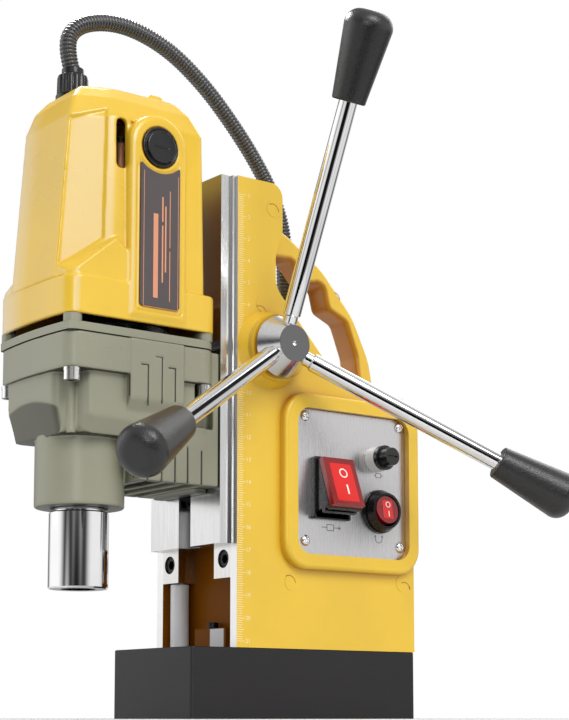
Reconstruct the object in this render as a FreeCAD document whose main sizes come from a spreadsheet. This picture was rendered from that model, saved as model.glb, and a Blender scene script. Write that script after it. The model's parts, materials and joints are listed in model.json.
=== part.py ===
"""Magnetic drill press: electromagnet base, column, geared slide and drilling head.

Frame: origin at the centre of the magnet's pole face, +Z up the column, -Y towards the
spindle, +X towards the side with the control panel and the feed handle. Millimetres.
"""
import FreeCAD, Part
import math
import os
from types import SimpleNamespace

import Sketcher

V = FreeCAD.Vector
doc = FreeCAD.newDocument("magnetic_drill_press")

# ---------------------------------------------------------------- driving dimensions
SIZES = {
    "base_width": 80.0,
    "base_length": 160.0,
    "base_height": 39.3,
    "column_setback": 29.6,
    "column_depth": 31.8,
    "column_top": 307.0,
    "column_wall": 6.0,
    "neck_low": 246.0,
    "neck_high": 270.0,
    "neck_depth": 26.9,
    "box_top": 192.0,
    "channel_depth": 14.4,
    "rail_foot": 78.3,
    "rail_half_gap": 18.0,
    "rim_height": 6.0,
    "rim_width": 100.6,
    "rim_low": 84.6,
    "rim_high": 186.0,
    "rim_border": 8.5,
    "panel_thick": 2.0,
    "feed_behind": 22.3,
    "feed_height": 208.5,
    "feed_shaft_radius": 6.0,
    "feed_module": 1.5,
    "feed_teeth": 16.0,
    "feed_boss": 9.5,
    "feed_boss_radius": 19.0,
    "hub_radius": 17.6,
    "hub_nose_radius": 10.4,
    "hub_length": 12.0,
    "rod_radius": 5.25,
    "rod_tilt": 25.1,
    "grip_start": 139.0,
    "grip_end": 188.5,
    "slide_foot": 97.0,
    "slide_length": 210.5,
    "slide_thick": 6.5,
    "slide_half_width": 35.0,
    "spindle_ahead": 127.9,
    "motor_ahead": 104.0,
    "arbor_radius": 16.4,
    "arbor_bore_radius": 9.525,
    "arbor_bore_depth": 50.0,
    "arbor_foot": 70.0,
    "nose_foot": 114.0,
    "nose_radius": 24.65,
    "gearcase_low": 151.0,
    "gearcase_flange": 184.0,
    "gearcase_high": 204.0,
    "skirt_low": 213.0,
    "skirt_high": 236.0,
    "shoulder_height": 326.0,
    "motor_top": 348.0,
    "brush_height": 312.0,
    "conduit_radius": 4.7,
    "sliding_gap": 0.15,
    "running_gap": 0.05,
}

sheet = doc.addObject("Spreadsheet::Sheet", "Sizes")
for row, (alias, number) in enumerate(SIZES.items(), 1):
    sheet.set(f"A{row}", alias)
    sheet.set(f"B{row}", str(number))
    sheet.setAlias(f"B{row}", alias)
doc.recompute()


class Size:
    """A length with the sheet expression that gives it."""

    def __init__(self, value, text):
        self.value = float(value)
        self.text = text

    def __add__(self, other):
        return Size(self.value + value_of(other), f"({self.text} + {text_of(other)})")

    def __sub__(self, other):
        return Size(self.value - value_of(other), f"({self.text} - {text_of(other)})")

    def __mul__(self, other):
        return Size(self.value * value_of(other), f"({self.text} * {text_of(other)})")

    def __truediv__(self, other):
        return Size(self.value / value_of(other), f"({self.text} / {text_of(other)})")

    def __neg__(self):
        return Size(-self.value, f"(-1 * {self.text})")

    def __rsub__(self, other):
        return -self + other

    __radd__ = __add__
    __rmul__ = __mul__


def value_of(length):
    return length.value if isinstance(length, Size) else float(length)


def text_of(length):
    return length.text if isinstance(length, Size) else repr(float(length))


S = SimpleNamespace(**{
    alias: Size(sheet.get(alias), "Sizes." + alias) for alias in SIZES
})


def bind(obj, prop, length):
    obj.setExpression(prop, text_of(length))


# ---------------------------------------------------------------- building blocks
AXES = ("x", "y", "z")
TURN_TO = {
    "x": FreeCAD.Rotation(V(0, 1, 0), 90),
    "y": FreeCAD.Rotation(V(1, 0, 0), -90),
    "z": FreeCAD.Rotation(),
}
NODES = []


def node(label, obj):
    """Name a finished sub-part."""
    obj.Label = label
    NODES.append(obj)
    return obj


def place(obj, x, y, z):
    for axis, length in zip(AXES, (x, y, z)):
        bind(obj, f"Placement.Base.{axis}", length)
    return obj


def block(x, y, z, name="block"):
    """A box between a low and a high value along each axis."""
    obj = doc.addObject("Part::Box", name)
    for prop, (low, high) in zip(("Length", "Width", "Height"), (x, y, z)):
        bind(obj, prop, high - low)
    return place(obj, x[0], y[0], z[0])


def along(axis, centre, low):
    """Where a turned piece starts: its low end on an axis through a centre."""
    spot = list(centre)
    spot.insert(AXES.index(axis), low)
    return spot


def rod(axis, centre, low, high, radius, name="rod"):
    obj = doc.addObject("Part::Cylinder", name)
    bind(obj, "Radius", radius)
    bind(obj, "Height", high - low)
    obj.Placement.Rotation = TURN_TO[axis]
    return place(obj, *along(axis, centre, low))


def cone(axis, centre, low, high, low_radius, high_radius, name="cone"):
    obj = doc.addObject("Part::Cone", name)
    bind(obj, "Radius1", low_radius)
    bind(obj, "Radius2", high_radius)
    bind(obj, "Height", high - low)
    obj.Placement.Rotation = TURN_TO[axis]
    return place(obj, *along(axis, centre, low))


def hexagon(axis, centre, low, high, radius, name="hexagon"):
    obj = doc.addObject("Part::Prism", name)
    obj.Polygon = 6
    bind(obj, "Circumradius", radius)
    bind(obj, "Height", high - low)
    obj.Placement.Rotation = TURN_TO[axis]
    return place(obj, *along(axis, centre, low))


def fuse(*parts, name="fuse"):
    obj = doc.addObject("Part::MultiFuse", name)
    obj.Shapes = list(parts)
    return obj


def group(parts, name="group"):
    """Separate solids that share one sub-part."""
    obj = doc.addObject("Part::Compound", name)
    obj.Links = list(parts)
    return obj


def cut(base, *tools, name="cut"):
    obj = doc.addObject("Part::Cut", name)
    obj.Base = base
    obj.Tool = tools[0] if len(tools) == 1 else group(tools, name + "_tools")
    return obj


def tube(axis, centre, low, high, radius, bore, name="tube"):
    outer = rod(axis, centre, low, high, radius, name + "_outer")
    return cut(outer, rod(axis, centre, low - 1, high + 1, bore, name + "_bore"), name=name)


def shape_node(label, shape):
    """A sub-part whose teeth or path no sketch feature gives."""
    obj = doc.addObject("Part::Feature", label)
    obj.Shape = shape
    return obj


# ---------------------------------------------------------------- sketch features
def new_body(name):
    return doc.addObject("PartDesign::Body", name)


def new_sketch(body, role, offset=0):
    sketch = body.newObject("Sketcher::SketchObject", body.Name + "_sketch")
    plane = next(f for f in body.Origin.OriginFeatures if f.Role == role)
    sketch.AttachmentSupport = (plane, [""])
    sketch.MapMode = "FlatFace"
    bind(sketch, "AttachmentOffset.Base.z", offset)
    return sketch


def limit(sketch, kind, geometry, point, length):
    index = sketch.addConstraint(
        Sketcher.Constraint(kind, -1, 1, geometry, point, value_of(length)))
    bind(sketch, f"Constraints[{index}]", length)


def outline(sketch, corners):
    """A closed polygon through corners given as pairs of sizes."""
    spots = [V(value_of(u), value_of(v), 0) for u, v in corners]
    count = len(spots)
    for index in range(count):
        sketch.addGeometry(Part.LineSegment(spots[index], spots[(index + 1) % count]), False)
    for index, (u, v) in enumerate(corners):
        following = (index + 1) % count
        sketch.addConstraint(Sketcher.Constraint("Coincident", index, 2, following, 1))
        limit(sketch, "DistanceX", index, 1, u)
        limit(sketch, "DistanceY", index, 1, v)
    return sketch


def pad(body, sketch, length, midplane=False):
    feature = body.newObject("PartDesign::Pad", body.Name + "_pad")
    feature.Profile = sketch
    feature.SideType = "Symmetric" if midplane else "One side"
    bind(feature, "Length", length)
    return feature


def edge_names(body, chosen):
    doc.recompute()
    edges = body.Tip.Shape.Edges
    return [f"Edge{number}" for number, edge in enumerate(edges, 1) if chosen(edge)]


def soften(body, radius, chosen, kind="Fillet"):
    """Round or chamfer the edges that a test picks."""
    names = edge_names(body, chosen)
    below = body.Tip
    feature = body.newObject(f"PartDesign::{kind}", f"{body.Name}_{kind.lower()}")
    feature.Base = (below, names)
    bind(feature, "Radius" if kind == "Fillet" else "Size", radius)
    doc.recompute()
    return feature


def runs_along(axis):
    """A test for straight edges along an axis."""
    number = AXES.index(axis)

    def test(edge):
        if edge.Curve.TypeId != "Part::GeomLine":
            return False
        return abs(abs(edge.Curve.Direction[number]) - 1) < 1e-6
    return test


def lies_at(axis, length):
    """A test for edges in a plane across an axis."""
    place_name = axis.upper()
    wanted = value_of(length)

    def test(edge):
        box = edge.BoundBox
        low = getattr(box, place_name + "Min")
        high = getattr(box, place_name + "Max")
        return abs(low - wanted) < 1e-4 and abs(high - wanted) < 1e-4
    return test


PLANE_OF = {"x": "YZ_Plane", "y": "XZ_Plane", "z": "XY_Plane"}


def prism(axis, first, second, span, radius, edge=0, ends=None, name="prism"):
    """A bar with a rounded rectangular section along X or Z, its end edges rounded too."""
    body = new_body(name)
    sketch = new_sketch(body, PLANE_OF[axis], span[0])
    corners = [(first[0], second[0]), (first[1], second[0]),
               (first[1], second[1]), (first[0], second[1])]
    pad(body, outline(sketch, corners), span[1] - span[0])
    soften(body, radius, runs_along(axis))
    if value_of(edge) > 0:
        tests = [lies_at(axis, end) for end in (ends or (span[1],))]
        soften(body, edge, lambda item: any(test(item) for test in tests))
    return body


# ---------------------------------------------------------------- fasteners
def socket_screw(axis, centre, seat, length, radius, way=1, name="screw"):
    """A cap screw: its head stands off the seat, its shank runs the other way."""
    head_radius = radius * 1.6
    head = (seat, seat + way * radius * 1.8)
    shank = (seat - way * length, seat)
    low, high = sorted(head, key=value_of)
    shank_low, shank_high = sorted(shank, key=value_of)
    body = fuse(rod(axis, centre, low, high, head_radius),
                rod(axis, centre, shank_low, shank_high, radius), name=name + "_blank")
    socket = sorted((head[1] + way * 1.0, head[1] - way * radius), key=value_of)
    return cut(body, hexagon(axis, centre, socket[0], socket[1], radius * 0.95), name=name)


def set_screw(axis, centre, low, high, radius, way=1, name="set_screw"):
    """A headless screw with its socket at the end that the way points to."""
    end = high if way > 0 else low
    socket = sorted((end + way * 1.0, end - way * radius), key=value_of)
    return cut(rod(axis, centre, low, high, radius),
               hexagon(axis, centre, socket[0], socket[1], radius * 0.6), name=name)


# ---------------------------------------------------------------- gear teeth
PRESSURE_SLOPE = math.tan(math.radians(20))


def gear_blank(teeth, module, centre, low, high, phase, bore):
    """A spur gear along Z or X with straight-flanked teeth and some backlash."""
    pitch_radius = teeth * module / 2
    points = []
    for tooth in range(teeth):
        middle = phase + tooth * 2 * math.pi / teeth
        for rise, side in ((-1.1, -1), (0, -1), (0.8, -1), (0.8, 1), (0, 1), (-1.1, 1)):
            radius = pitch_radius + rise * module
            half = math.pi / (2 * teeth) * 0.9 - rise * module * PRESSURE_SLOPE / pitch_radius
            angle = middle + side * half
            points.append(V(radius * math.cos(angle), radius * math.sin(angle), 0))
    face = Part.Face(Part.makePolygon(points + points[:1]))
    gear = face.extrude(V(0, 0, high - low))
    gear = gear.cut(Part.makeCylinder(bore, high - low + 2, V(0, 0, -1)))
    gear.translate(V(centre[0], centre[1], low))
    return gear


def rack_teeth(module, middle, low, high, half_width, pitch_line, back):
    """A straight rack along Z whose teeth face +Y, with a gap at the middle height."""
    pitch = math.pi * module
    root = pitch_line - 1.1 * module
    tip = pitch_line + 0.8 * module
    root_half = pitch * 0.225 + 1.1 * module * PRESSURE_SLOPE
    tip_half = pitch * 0.225 - 0.8 * module * PRESSURE_SLOPE
    points = [V(0, back, low), V(0, root, low)]
    first = math.ceil((low + root_half - middle) / pitch - 0.5)
    last = math.floor((high - root_half - middle) / pitch - 0.5)
    for tooth in range(first, last + 1):
        centre = middle + (tooth + 0.5) * pitch
        points += [V(0, root, centre - root_half), V(0, tip, centre - tip_half),
                   V(0, tip, centre + tip_half), V(0, root, centre + root_half)]
    points += [V(0, root, high), V(0, back, high)]
    rack = Part.Face(Part.makePolygon(points + points[:1])).extrude(V(2 * half_width, 0, 0))
    rack.translate(V(-half_width, 0, 0))
    return rack


def turned(name, profile):
    """A piece turned about its own Z axis from a half section of (radius, height) corners."""
    body = new_body(name)
    sketch = outline(new_sketch(body, "XZ_Plane"), profile)
    feature = body.newObject("PartDesign::Revolution", name + "_turn")
    feature.Profile = sketch
    feature.ReferenceAxis = (sketch, ["V_Axis"])
    feature.Angle = 360
    return body


def round_edge_at(height):
    """A test for circular edges at a height on a turned piece."""
    level = lies_at("z", height)

    def test(edge):
        return edge.Curve.TypeId == "Part::GeomCircle" and level(edge)
    return test


def corner_at(first, second):
    """A test for the straight edge along X through a point of a side outline."""
    def test(edge):
        centre = edge.CenterOfMass
        near = math.hypot(centre.y - value_of(first), centre.z - value_of(second)) < 0.01
        return near and runs_along("x")(edge)
    return test


# ---------------------------------------------------------------- places
SLIDE_GAP = 0.2
GUIDE_LIP = 1.3
half_width = S.base_width / 2
half_length = S.base_length / 2
base_top = S.base_height
column_front = S.column_setback - half_length
column_rear = column_front + S.column_depth
neck_rear = column_front + S.neck_depth
channel_rear = column_front + S.channel_depth
wall_inside = half_width - S.column_wall
feed_y = column_front + S.feed_behind
feed_centre = (feed_y, S.feed_height)
spindle_y = -S.spindle_ahead
motor_y = -S.motor_ahead
slide_top = S.slide_foot + S.slide_length
rail_front = column_front
slide_back = rail_front - SLIDE_GAP
flange_front = slide_back - GUIDE_LIP
slide_front = flange_front - S.slide_thick
panel_face = half_width + S.panel_thick

# ---------------------------------------------------------------- electromagnet base
COIL_SLOT = {"outer": (62, 142), "inner": (38, 118), "roof": 30}
POTTING_TOP = 8


def racetrack(width, length, low, high):
    """An upright slab with round ends along Y."""
    radius = width / 2
    straight = (length - width) / 2
    ends = [rod("z", (0, way * straight), low, high, radius) for way in (-1, 1)]
    return fuse(block((-radius, radius), (-straight, straight), (low, high)), *ends)


def coil_ring(low, high, gap):
    outer = racetrack(COIL_SLOT["outer"][0] - 2 * gap, COIL_SLOT["outer"][1] - 2 * gap, low, high)
    inner = racetrack(COIL_SLOT["inner"][0] + 2 * gap, COIL_SLOT["inner"][1] + 2 * gap,
                      low - 1, high + 1)
    return cut(outer, inner)


LEAD = (-28, -42.5)
base_blank = prism("z", (-half_width, half_width), (-half_length, half_length),
                   (0, base_top), 2, 0.8, name="base_blank")
lead_hole = rod("z", LEAD, COIL_SLOT["roof"] - 1, base_top + 1, 4)
node("magnet_coil", coil_ring(POTTING_TOP, COIL_SLOT["roof"] - 0.2, 0.2))
node("coil_potting", coil_ring(0.4, POTTING_TOP - 0.1, 0))
node("coil_lead_tube", tube("z", LEAD, base_top, S.rail_foot - 0.5, 5.5, 4))

# ---------------------------------------------------------------- screws of the frame
FOOT_BLOCK_TOP = 51
SCREW = 3.0
FOOT_SCREW = 2.0
RAIL_SCREW_X = 27
RAIL_SCREW_Z = (89, 150, 232, 297)
SEAT_DEPTH = 6.5
foot_block_screw = (3, -40.4)
rear_screws = [(side * 24, 58) for side in (-1, 1)]
cavity_floor = 47
cavity_roof = 181
foot_screws = [socket_screw("z", foot_block_screw, FOOT_BLOCK_TOP, 18, FOOT_SCREW)]
foot_screws += [socket_screw("z", spot, cavity_floor, 15.5, SCREW) for spot in rear_screws]
rail_screws = [socket_screw("y", (side * RAIL_SCREW_X, height), rail_front + SEAT_DEPTH, 16,
                            SCREW, way=-1)
               for side in (-1, 1) for height in RAIL_SCREW_Z]
handle_seat = -29
HANDLE_SCREW_Z = (280.5, 291.5)
handle_screws = [socket_screw("y", (0, height), handle_seat, 26, SCREW, way=-1)
                 for height in HANDLE_SCREW_Z]
handle_screws.append(socket_screw("z", (0, 66), cavity_roof, 22, SCREW, way=-1))
frame_screws = node("frame_screws", group(foot_screws + rail_screws + handle_screws))
node("magnet_base", cut(base_blank, coil_ring(-1, COIL_SLOT["roof"], 0), lead_hole,
                        group(foot_screws)))
rail_adjusters = node("rail_adjusters", group([
    set_screw("x", (-43, height), -half_width, -wall_inside, SCREW, way=-1)
    for height in (112, 172, 240, 290)]))

# ---------------------------------------------------------------- column casting
STEP_HIGH = 279
STEP_LOW = 267
SLOPE_FOOT_Y = 27
column_blank = new_body("column_blank")
side = [(column_front, base_top), (column_front, S.column_top), (column_rear, S.column_top),
        (column_rear, STEP_HIGH), (neck_rear, STEP_LOW), (neck_rear, S.neck_low),
        (SLOPE_FOOT_Y, S.box_top), (half_length, S.box_top), (half_length, base_top)]
pad(column_blank, outline(new_sketch(column_blank, "YZ_Plane"), side), S.base_width, True)
for corner, radius in ((2, 8), (3, 6), (4, 8), (5, 15), (6, 12), (7, 12)):
    soften(column_blank, radius, corner_at(*side[corner]))

RIM_OVERHANG = 0.2
rim_rear = half_length + RIM_OVERHANG
rim_front = rim_rear - S.rim_width
rim_face = half_width + S.rim_height
rim_y = (rim_front, rim_rear)
rim_z = (S.rim_low, S.rim_high)
window_y = (rim_front + S.rim_border, rim_rear - S.rim_border)
window_z = (S.rim_low + S.rim_border, S.rim_high - S.rim_border)
rim = prism("x", rim_y, rim_z, (half_width - 1, rim_face), 16, 2.5, name="rim")
window = prism("x", window_y, window_z, (half_width, rim_face + 1), 9, name="window")
boss_face = half_width + S.feed_boss
feed_boss = fuse(cone("x", feed_centre, half_width - 1, boss_face - 4, 23, S.feed_boss_radius),
                 rod("x", feed_centre, boss_face - 5, boss_face, S.feed_boss_radius),
                 rod("x", feed_centre, -half_width - 2, 1 - half_width, 15))
BUSH_RADIUS = 7.5
PINION_POCKET = 15
cavity = block((-wall_inside, wall_inside), (-23, 73), (cavity_floor, cavity_roof))
access = prism("x", (-1, 63), (105, 169), (wall_inside - 1, half_width + 1), 6, name="access")
channel = block((-wall_inside, wall_inside), (column_front - 1, channel_rear),
                (base_top - 1, S.column_top + 1))
foot_block = block((-10, 20.5), (channel_rear - 8, channel_rear), (base_top, FOOT_BLOCK_TOP))
counterbores = [rod("y", (0, height), channel_rear - 1, handle_seat, 5.2)
                for height in HANDLE_SCREW_Z]
GLAND_SPOT = (-18, 30)
gland_hole = fuse(rod("z", GLAND_SPOT, cavity_roof - 1, S.box_top + 1, 6),
                  rod("z", GLAND_SPOT, S.box_top, S.box_top + 16, 9.6))
SIDE_PLUGS = ((-25, 292), (-32.5, 235), (-12, 77), (71, 80))
side_plugs = node("side_plugs", group([
    rod("x", spot, half_width - 1.5, half_width + 0.2, 5) for spot in SIDE_PLUGS]))
PANEL_SCREWS = [(y, z) for y in (-3.9, 67.2) for z in (101, 173)]
panel_screws = []
for spot in PANEL_SCREWS:
    head = cone("x", spot, panel_face, panel_face + 1.4, 3.4, 2.4)
    blank = fuse(head, rod("x", spot, half_width - 5, panel_face, 1.7))
    cross = [block((panel_face + 0.5, panel_face + 2), (spot[0] - long, spot[0] + long),
                   (spot[1] - short, spot[1] + short))
             for long, short in ((1.8, 0.35), (0.35, 1.8))]
    panel_screws.append(cut(blank, *cross))
panel_screws = node("panel_screws", group(panel_screws))
hollow_column = cut(fuse(column_blank, rim), window, cavity, access, channel,
                    rod("x", feed_centre, -10, 10, PINION_POCKET), gland_hole, *counterbores)
column = cut(fuse(hollow_column, feed_boss, foot_block),
             rod("x", feed_centre, -half_width - 3, boss_face + 1, BUSH_RADIUS),
             frame_screws, rail_adjusters, side_plugs, panel_screws)
node("column_casting", column)


def bush(low, high):
    return tube("x", feed_centre, low, high, BUSH_RADIUS, S.feed_shaft_radius)


node("feed_bushes", group([bush(half_width - 12, boss_face),
                           bush(-half_width - 2, 12 - half_width)]))

# ---------------------------------------------------------------- guide rails
DOVETAIL_RISE = 3.4
DOVETAIL_DEPTH = 7.4


def rail(side, name):
    """A guide rail whose inner face leans outwards behind its front edge."""
    inner = S.rail_half_gap
    deep = inner + DOVETAIL_RISE
    corners = [(inner, rail_front), (wall_inside, rail_front), (wall_inside, channel_rear),
               (deep, channel_rear), (deep, rail_front + DOVETAIL_DEPTH)]
    body = new_body(name)
    sketch = new_sketch(body, "XY_Plane", S.rail_foot)
    pad(body, outline(sketch, [(x * side, y) for x, y in corners]), S.column_top - S.rail_foot)
    bores = [rod("y", (side * RAIL_SCREW_X, height), rail_front - 1, rail_front + SEAT_DEPTH, 5.2)
             for height in RAIL_SCREW_Z]
    return cut(body, frame_screws, *bores)


node("guide_rail_right", rail(1, "rail_right"))
node("guide_rail_left", rail(-1, "rail_left"))

# ---------------------------------------------------------------- carrying handle
HANDLE_WIDTH = 18
handle = new_body("handle")
outer_edge = [(column_rear - 3, 300), (8, 290), (36, 272), (60, 246), (73, 220), (79, 188)]
inner_edge = [(66, 188), (62, 222), (54, 242), (40, 248), (36, 264), (24, 262), (12, 274.5),
              (column_rear - 3, 272.5)]
pad(handle, outline(new_sketch(handle, "YZ_Plane"), outer_edge + inner_edge), HANDLE_WIDTH, True)
for radius, spots in ((45, outer_edge[1:-1]), (6, inner_edge[2:-1]), (14, inner_edge[1:2])):
    soften(handle, radius, lambda edge: any(corner_at(*spot)(edge) for spot in spots))
rims = [lies_at("x", side * HANDLE_WIDTH / 2) for side in (-1, 1)]
soften(handle, 3, lambda edge: any(test(edge) for test in rims))
node("carry_handle", cut(handle, column_blank, frame_screws))

# ---------------------------------------------------------------- control panel
ROCKER_PIVOT = (46, 131.4)
ROCKER_Y = 13.8
ROCKER_TILT = -20.7
ROCKER_ROOM = 16.9
CAP_FOOT = 6.2
CAP_SECTION = [(CAP_FOOT, -15), (10, -15), (10, 15), (CAP_FOOT, 15)]
BELLOWS_SECTION = [(-8, -11.5), (-1, -13), (-1, -15.5), (1.5, -15.5), (1.5, -14), (3.7, -14),
                   (3.7, -15.5), (CAP_FOOT, -15.5), (CAP_FOOT, 15.5), (3.7, 15.5), (3.7, 14),
                   (1.5, 14), (1.5, 15.5), (-1, 15.5), (-1, 13), (-8, 11.5)]
DISC_PIVOT = (45.5, 121.2)
DISC_Y = 51.4
DISC_RADIUS = 8.2
DISC_TILT = -9
DISC_ROOM = 9.2
FUSE = (48.8, 152.3)


def tilted(body, tilt, pivot, centre_y):
    """Turn a piece made about the Y axis to its tilt, and put it on its pivot."""
    body.Placement.Rotation = FreeCAD.Rotation(V(0, 1, 0), tilt)
    return place(body, pivot[0], centre_y, pivot[1])


def tilting_bar(name, section, width):
    """A bar along Y on the drill switch's pivot."""
    body = new_body(name)
    pad(body, outline(new_sketch(body, "XZ_Plane"), section), width, True)
    return tilted(body, ROCKER_TILT, ROCKER_PIVOT, ROCKER_Y)


node("drill_rocker", tilting_bar("rocker_cap", CAP_SECTION, 22.7))
node("rocker_bellows", tilting_bar("bellows", BELLOWS_SECTION, 23.2))
disc_blank = new_body("disc_blank")
disc_sketch = outline(new_sketch(disc_blank, "XZ_Plane"),
                      [(-4, -5.5), (2, -9), (4.5, -9), (4.1, 0), (4.5, 9), (2, 9), (-4, 5.5)])
pad(disc_blank, disc_sketch, 18, True)
disc = doc.addObject("Part::MultiCommon", "disc")
disc.Shapes = [disc_blank, rod("x", (0, 0), -5, 6, DISC_RADIUS, "disc_rim")]
node("magnet_rocker", tilted(disc, DISC_TILT, DISC_PIVOT, DISC_Y))
rocker_half = 11.9
drill_room = rod("y", ROCKER_PIVOT, ROCKER_Y - rocker_half, ROCKER_Y + rocker_half, ROCKER_ROOM)
frame_y = (ROCKER_Y - 13.5, ROCKER_Y + 13.5)
frame_z = (113.7, 149.8)
boot = prism("x", frame_y, frame_z, (panel_face, panel_face + 3.3), 1.5, 0.6, name="boot")
node("drill_switch_boot", cut(boot, drill_room))
switch_case = prism("x", (ROCKER_Y - 12.6, ROCKER_Y + 12.6), (frame_z[0] + 1, frame_z[1] - 1),
                    (20, panel_face), 1, name="switch_case")
node("drill_switch_body", cut(switch_case, drill_room))
ring_spot = (DISC_Y, DISC_PIVOT[1])
BARREL_RADIUS = 10.8
bezel = fuse(cone("x", ring_spot, panel_face, panel_face + 2.6, 13.1, 12.7),
             rod("x", ring_spot, 26, panel_face + 3.6, BARREL_RADIUS),
             cone("x", ring_spot, panel_face + 3.6, panel_face + 7.6, 12.3, 10.6))
node("magnet_switch_body", cut(bezel, rod("x", ring_spot, 36, 60, DISC_ROOM)))
FUSE_BARREL = 5.6
FUSE_COLLAR = 6.4
holder_face = panel_face + FUSE_COLLAR
node("fuse_holder", cut(fuse(cone("x", FUSE, panel_face, holder_face, 7.8, 7.4),
                             rod("x", FUSE, 14, panel_face, FUSE_BARREL)),
                        rod("x", FUSE, 16, holder_face + 1, 3)))
cap_low = holder_face + 0.3
cap_end = cap_low + 9
cap_blank = fuse(rod("x", FUSE, cap_low, cap_low + 2.8, 7.3),
                 cone("x", FUSE, cap_low + 2.8, cap_end, 5.9, 5.2),
                 rod("x", FUSE, half_width, cap_low, 2.7))
node("fuse_cap", cut(cap_blank, block((cap_end - 1, cap_end + 1), (FUSE[0] - 3.6, FUSE[0] + 3.6),
                                      (FUSE[1] - 0.5, FUSE[1] + 0.5))))
node("fuse_link", rod("x", FUSE, 18, half_width - 0.5, 2.6))
panel_blank = prism("x", (window_y[0] + 0.3, window_y[1] - 0.3),
                    (window_z[0] + 0.3, window_z[1] - 0.3), (half_width, panel_face), 8.6,
                    name="panel_blank")
node("control_panel", cut(panel_blank, switch_case, rod("x", ring_spot, 30, 50, BARREL_RADIUS),
                          rod("x", FUSE, 30, 50, FUSE_BARREL), panel_screws))
BOARD_X = -30
board = block((BOARD_X, BOARD_X + 1.6), (4, 64), (70, 150))
parts_on_board = [block((BOARD_X + 1.6, BOARD_X + 12), (14, 34), (84, 104)),
                  rod("x", (48, 96), BOARD_X + 1.6, BOARD_X + 22, 8),
                  block((BOARD_X + 1.6, BOARD_X + 10), (12, 52), (120, 132))]
feet = [rod("x", (y, z), -wall_inside, BOARD_X, 3) for y in (8, 60) for z in (74, 146)]
node("circuit_board", fuse(board, *parts_on_board, *feet))


def gland(spot, low, name):
    """A ribbed cable gland: hexagon foot, ribbed sleeve, bore for the conduit."""
    ribs = [rod("z", spot, low + 5 + 2.4 * rib, low + 6.4 + 2.4 * rib, 7.6) for rib in range(4)]
    sleeve = rod("z", spot, low + 4, low + 17, 6.6)
    return cut(fuse(hexagon("z", spot, low, low + 4.5, 9), sleeve, *ribs),
               rod("z", spot, low - 1, low + 14, 3.5), name=name)


node("lower_gland", gland(GLAND_SPOT, S.box_top, "gland_low"))

# ---------------------------------------------------------------- feed shaft and handle
shaft_radius = S.feed_shaft_radius - S.running_gap
PINION_HALF = 7
hub_foot = boss_face + 2.5
hub_face = hub_foot + S.hub_length
shaft_head = -half_width - 2.3
feed_shaft = fuse(rod("x", feed_centre, shaft_head, hub_face - 5, shaft_radius),
                  rod("x", feed_centre, shaft_head - 3, shaft_head, 10), name="feed_shaft_blank")
node("feed_shaft", feed_shaft)
pinion = gear_blank(int(S.feed_teeth.value), S.feed_module.value, (0, 0), 0,
                    2 * PINION_HALF, math.radians(-90), shaft_radius.value)
pinion.rotate(V(0, 0, 0), V(0, 1, 0), 90)
node("feed_pinion", place(shape_node("feed_pinion", pinion), -PINION_HALF, *feed_centre))

tilt = math.radians(S.rod_tilt.value)
rod_root = (half_width + 12.8, *feed_centre)
NECK_START = 10.0
NECK_END = 18.0


def spoke(number):
    angle = math.radians(90 - 120 * number)
    return V(math.sin(tilt), math.cos(tilt) * math.cos(angle), math.cos(tilt) * math.sin(angle))


def on_spoke(obj, number):
    """Turn a piece made along Z into line with a spoke of the feed handle."""
    obj.Placement.Rotation = FreeCAD.Rotation(V(0, 0, 1), spoke(number))
    return place(obj, *rod_root)


rods = []
for number in range(3):
    profile = [(0, NECK_START), (4.2, NECK_START), (4.2, NECK_END), (S.rod_radius, NECK_END + 0.8),
               (S.rod_radius, S.grip_end - 14), (0, S.grip_end - 14)]
    rods.append(node(f"feed_rod_{number + 1}", on_spoke(turned(f"rod_{number}", profile), number)))
    profile = [(S.rod_radius, S.grip_start), (9.4, S.grip_start), (13.6, S.grip_end - 8.5),
               (13.6, S.grip_end), (0, S.grip_end), (0, S.grip_end - 14),
               (S.rod_radius, S.grip_end - 14)]
    grip = turned(f"grip_{number}", profile)
    soften(grip, 8.4, round_edge_at(S.grip_end))
    soften(grip, 1.2, lambda edge: round_edge_at(S.grip_start)(edge) and edge.Curve.Radius > 7)
    node(f"grip_{number + 1}", on_spoke(grip, number))
hub = fuse(cone("x", feed_centre, hub_foot, hub_face, S.hub_radius, S.hub_nose_radius),
           rod("x", feed_centre, boss_face + 0.3, hub_foot + 1, 15))
dimple = cone("x", feed_centre, hub_face - 1.2, hub_face + 0.1, 0.1, 1.6)
node("feed_hub", cut(hub, feed_shaft, dimple, *rods))

# ---------------------------------------------------------------- slide and rack
TONGUE_HALF = 17.75
TONGUE_BACK = 7.4
GROOVE_HALF = 6
GROOVE_FLOOR = 7.2
CARRIAGE_SCREWS = [(side * 22, height) for side in (-1, 1) for height in (138, 176)]
rack_half = PINION_HALF
pitch_line = feed_y - S.feed_module * S.feed_teeth / 2
rack_back = slide_back + 4.6
tongue_back = slide_back + TONGUE_BACK
right_side = [(GROOVE_HALF, slide_front), (S.slide_half_width, slide_front),
              (S.slide_half_width, flange_front), (S.slide_half_width + 2, flange_front),
              (S.slide_half_width + 2, slide_back), (TONGUE_HALF, slide_back),
              (TONGUE_HALF + DOVETAIL_RISE, tongue_back)]
left_side = [(-x, y) for x, y in reversed(right_side)]
groove = [(-GROOVE_HALF, slide_front + GROOVE_FLOOR), (GROOVE_HALF, slide_front + GROOVE_FLOOR)]
slide_blank = new_body("slide_blank")
slide_sketch = new_sketch(slide_blank, "XY_Plane", S.slide_foot)
pad(slide_blank, outline(slide_sketch, right_side + left_side + groove), S.slide_length)
rack_slot = block((-rack_half, rack_half), (rack_back, tongue_back + 1),
                  (S.slide_foot - 1, slide_top + 1))
rack_screws = node("rack_screws", group([
    socket_screw("y", (0, height), slide_front + GROOVE_FLOOR, 8.5, 2, way=-1)
    for height in (122, 205, 290)]))
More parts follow.
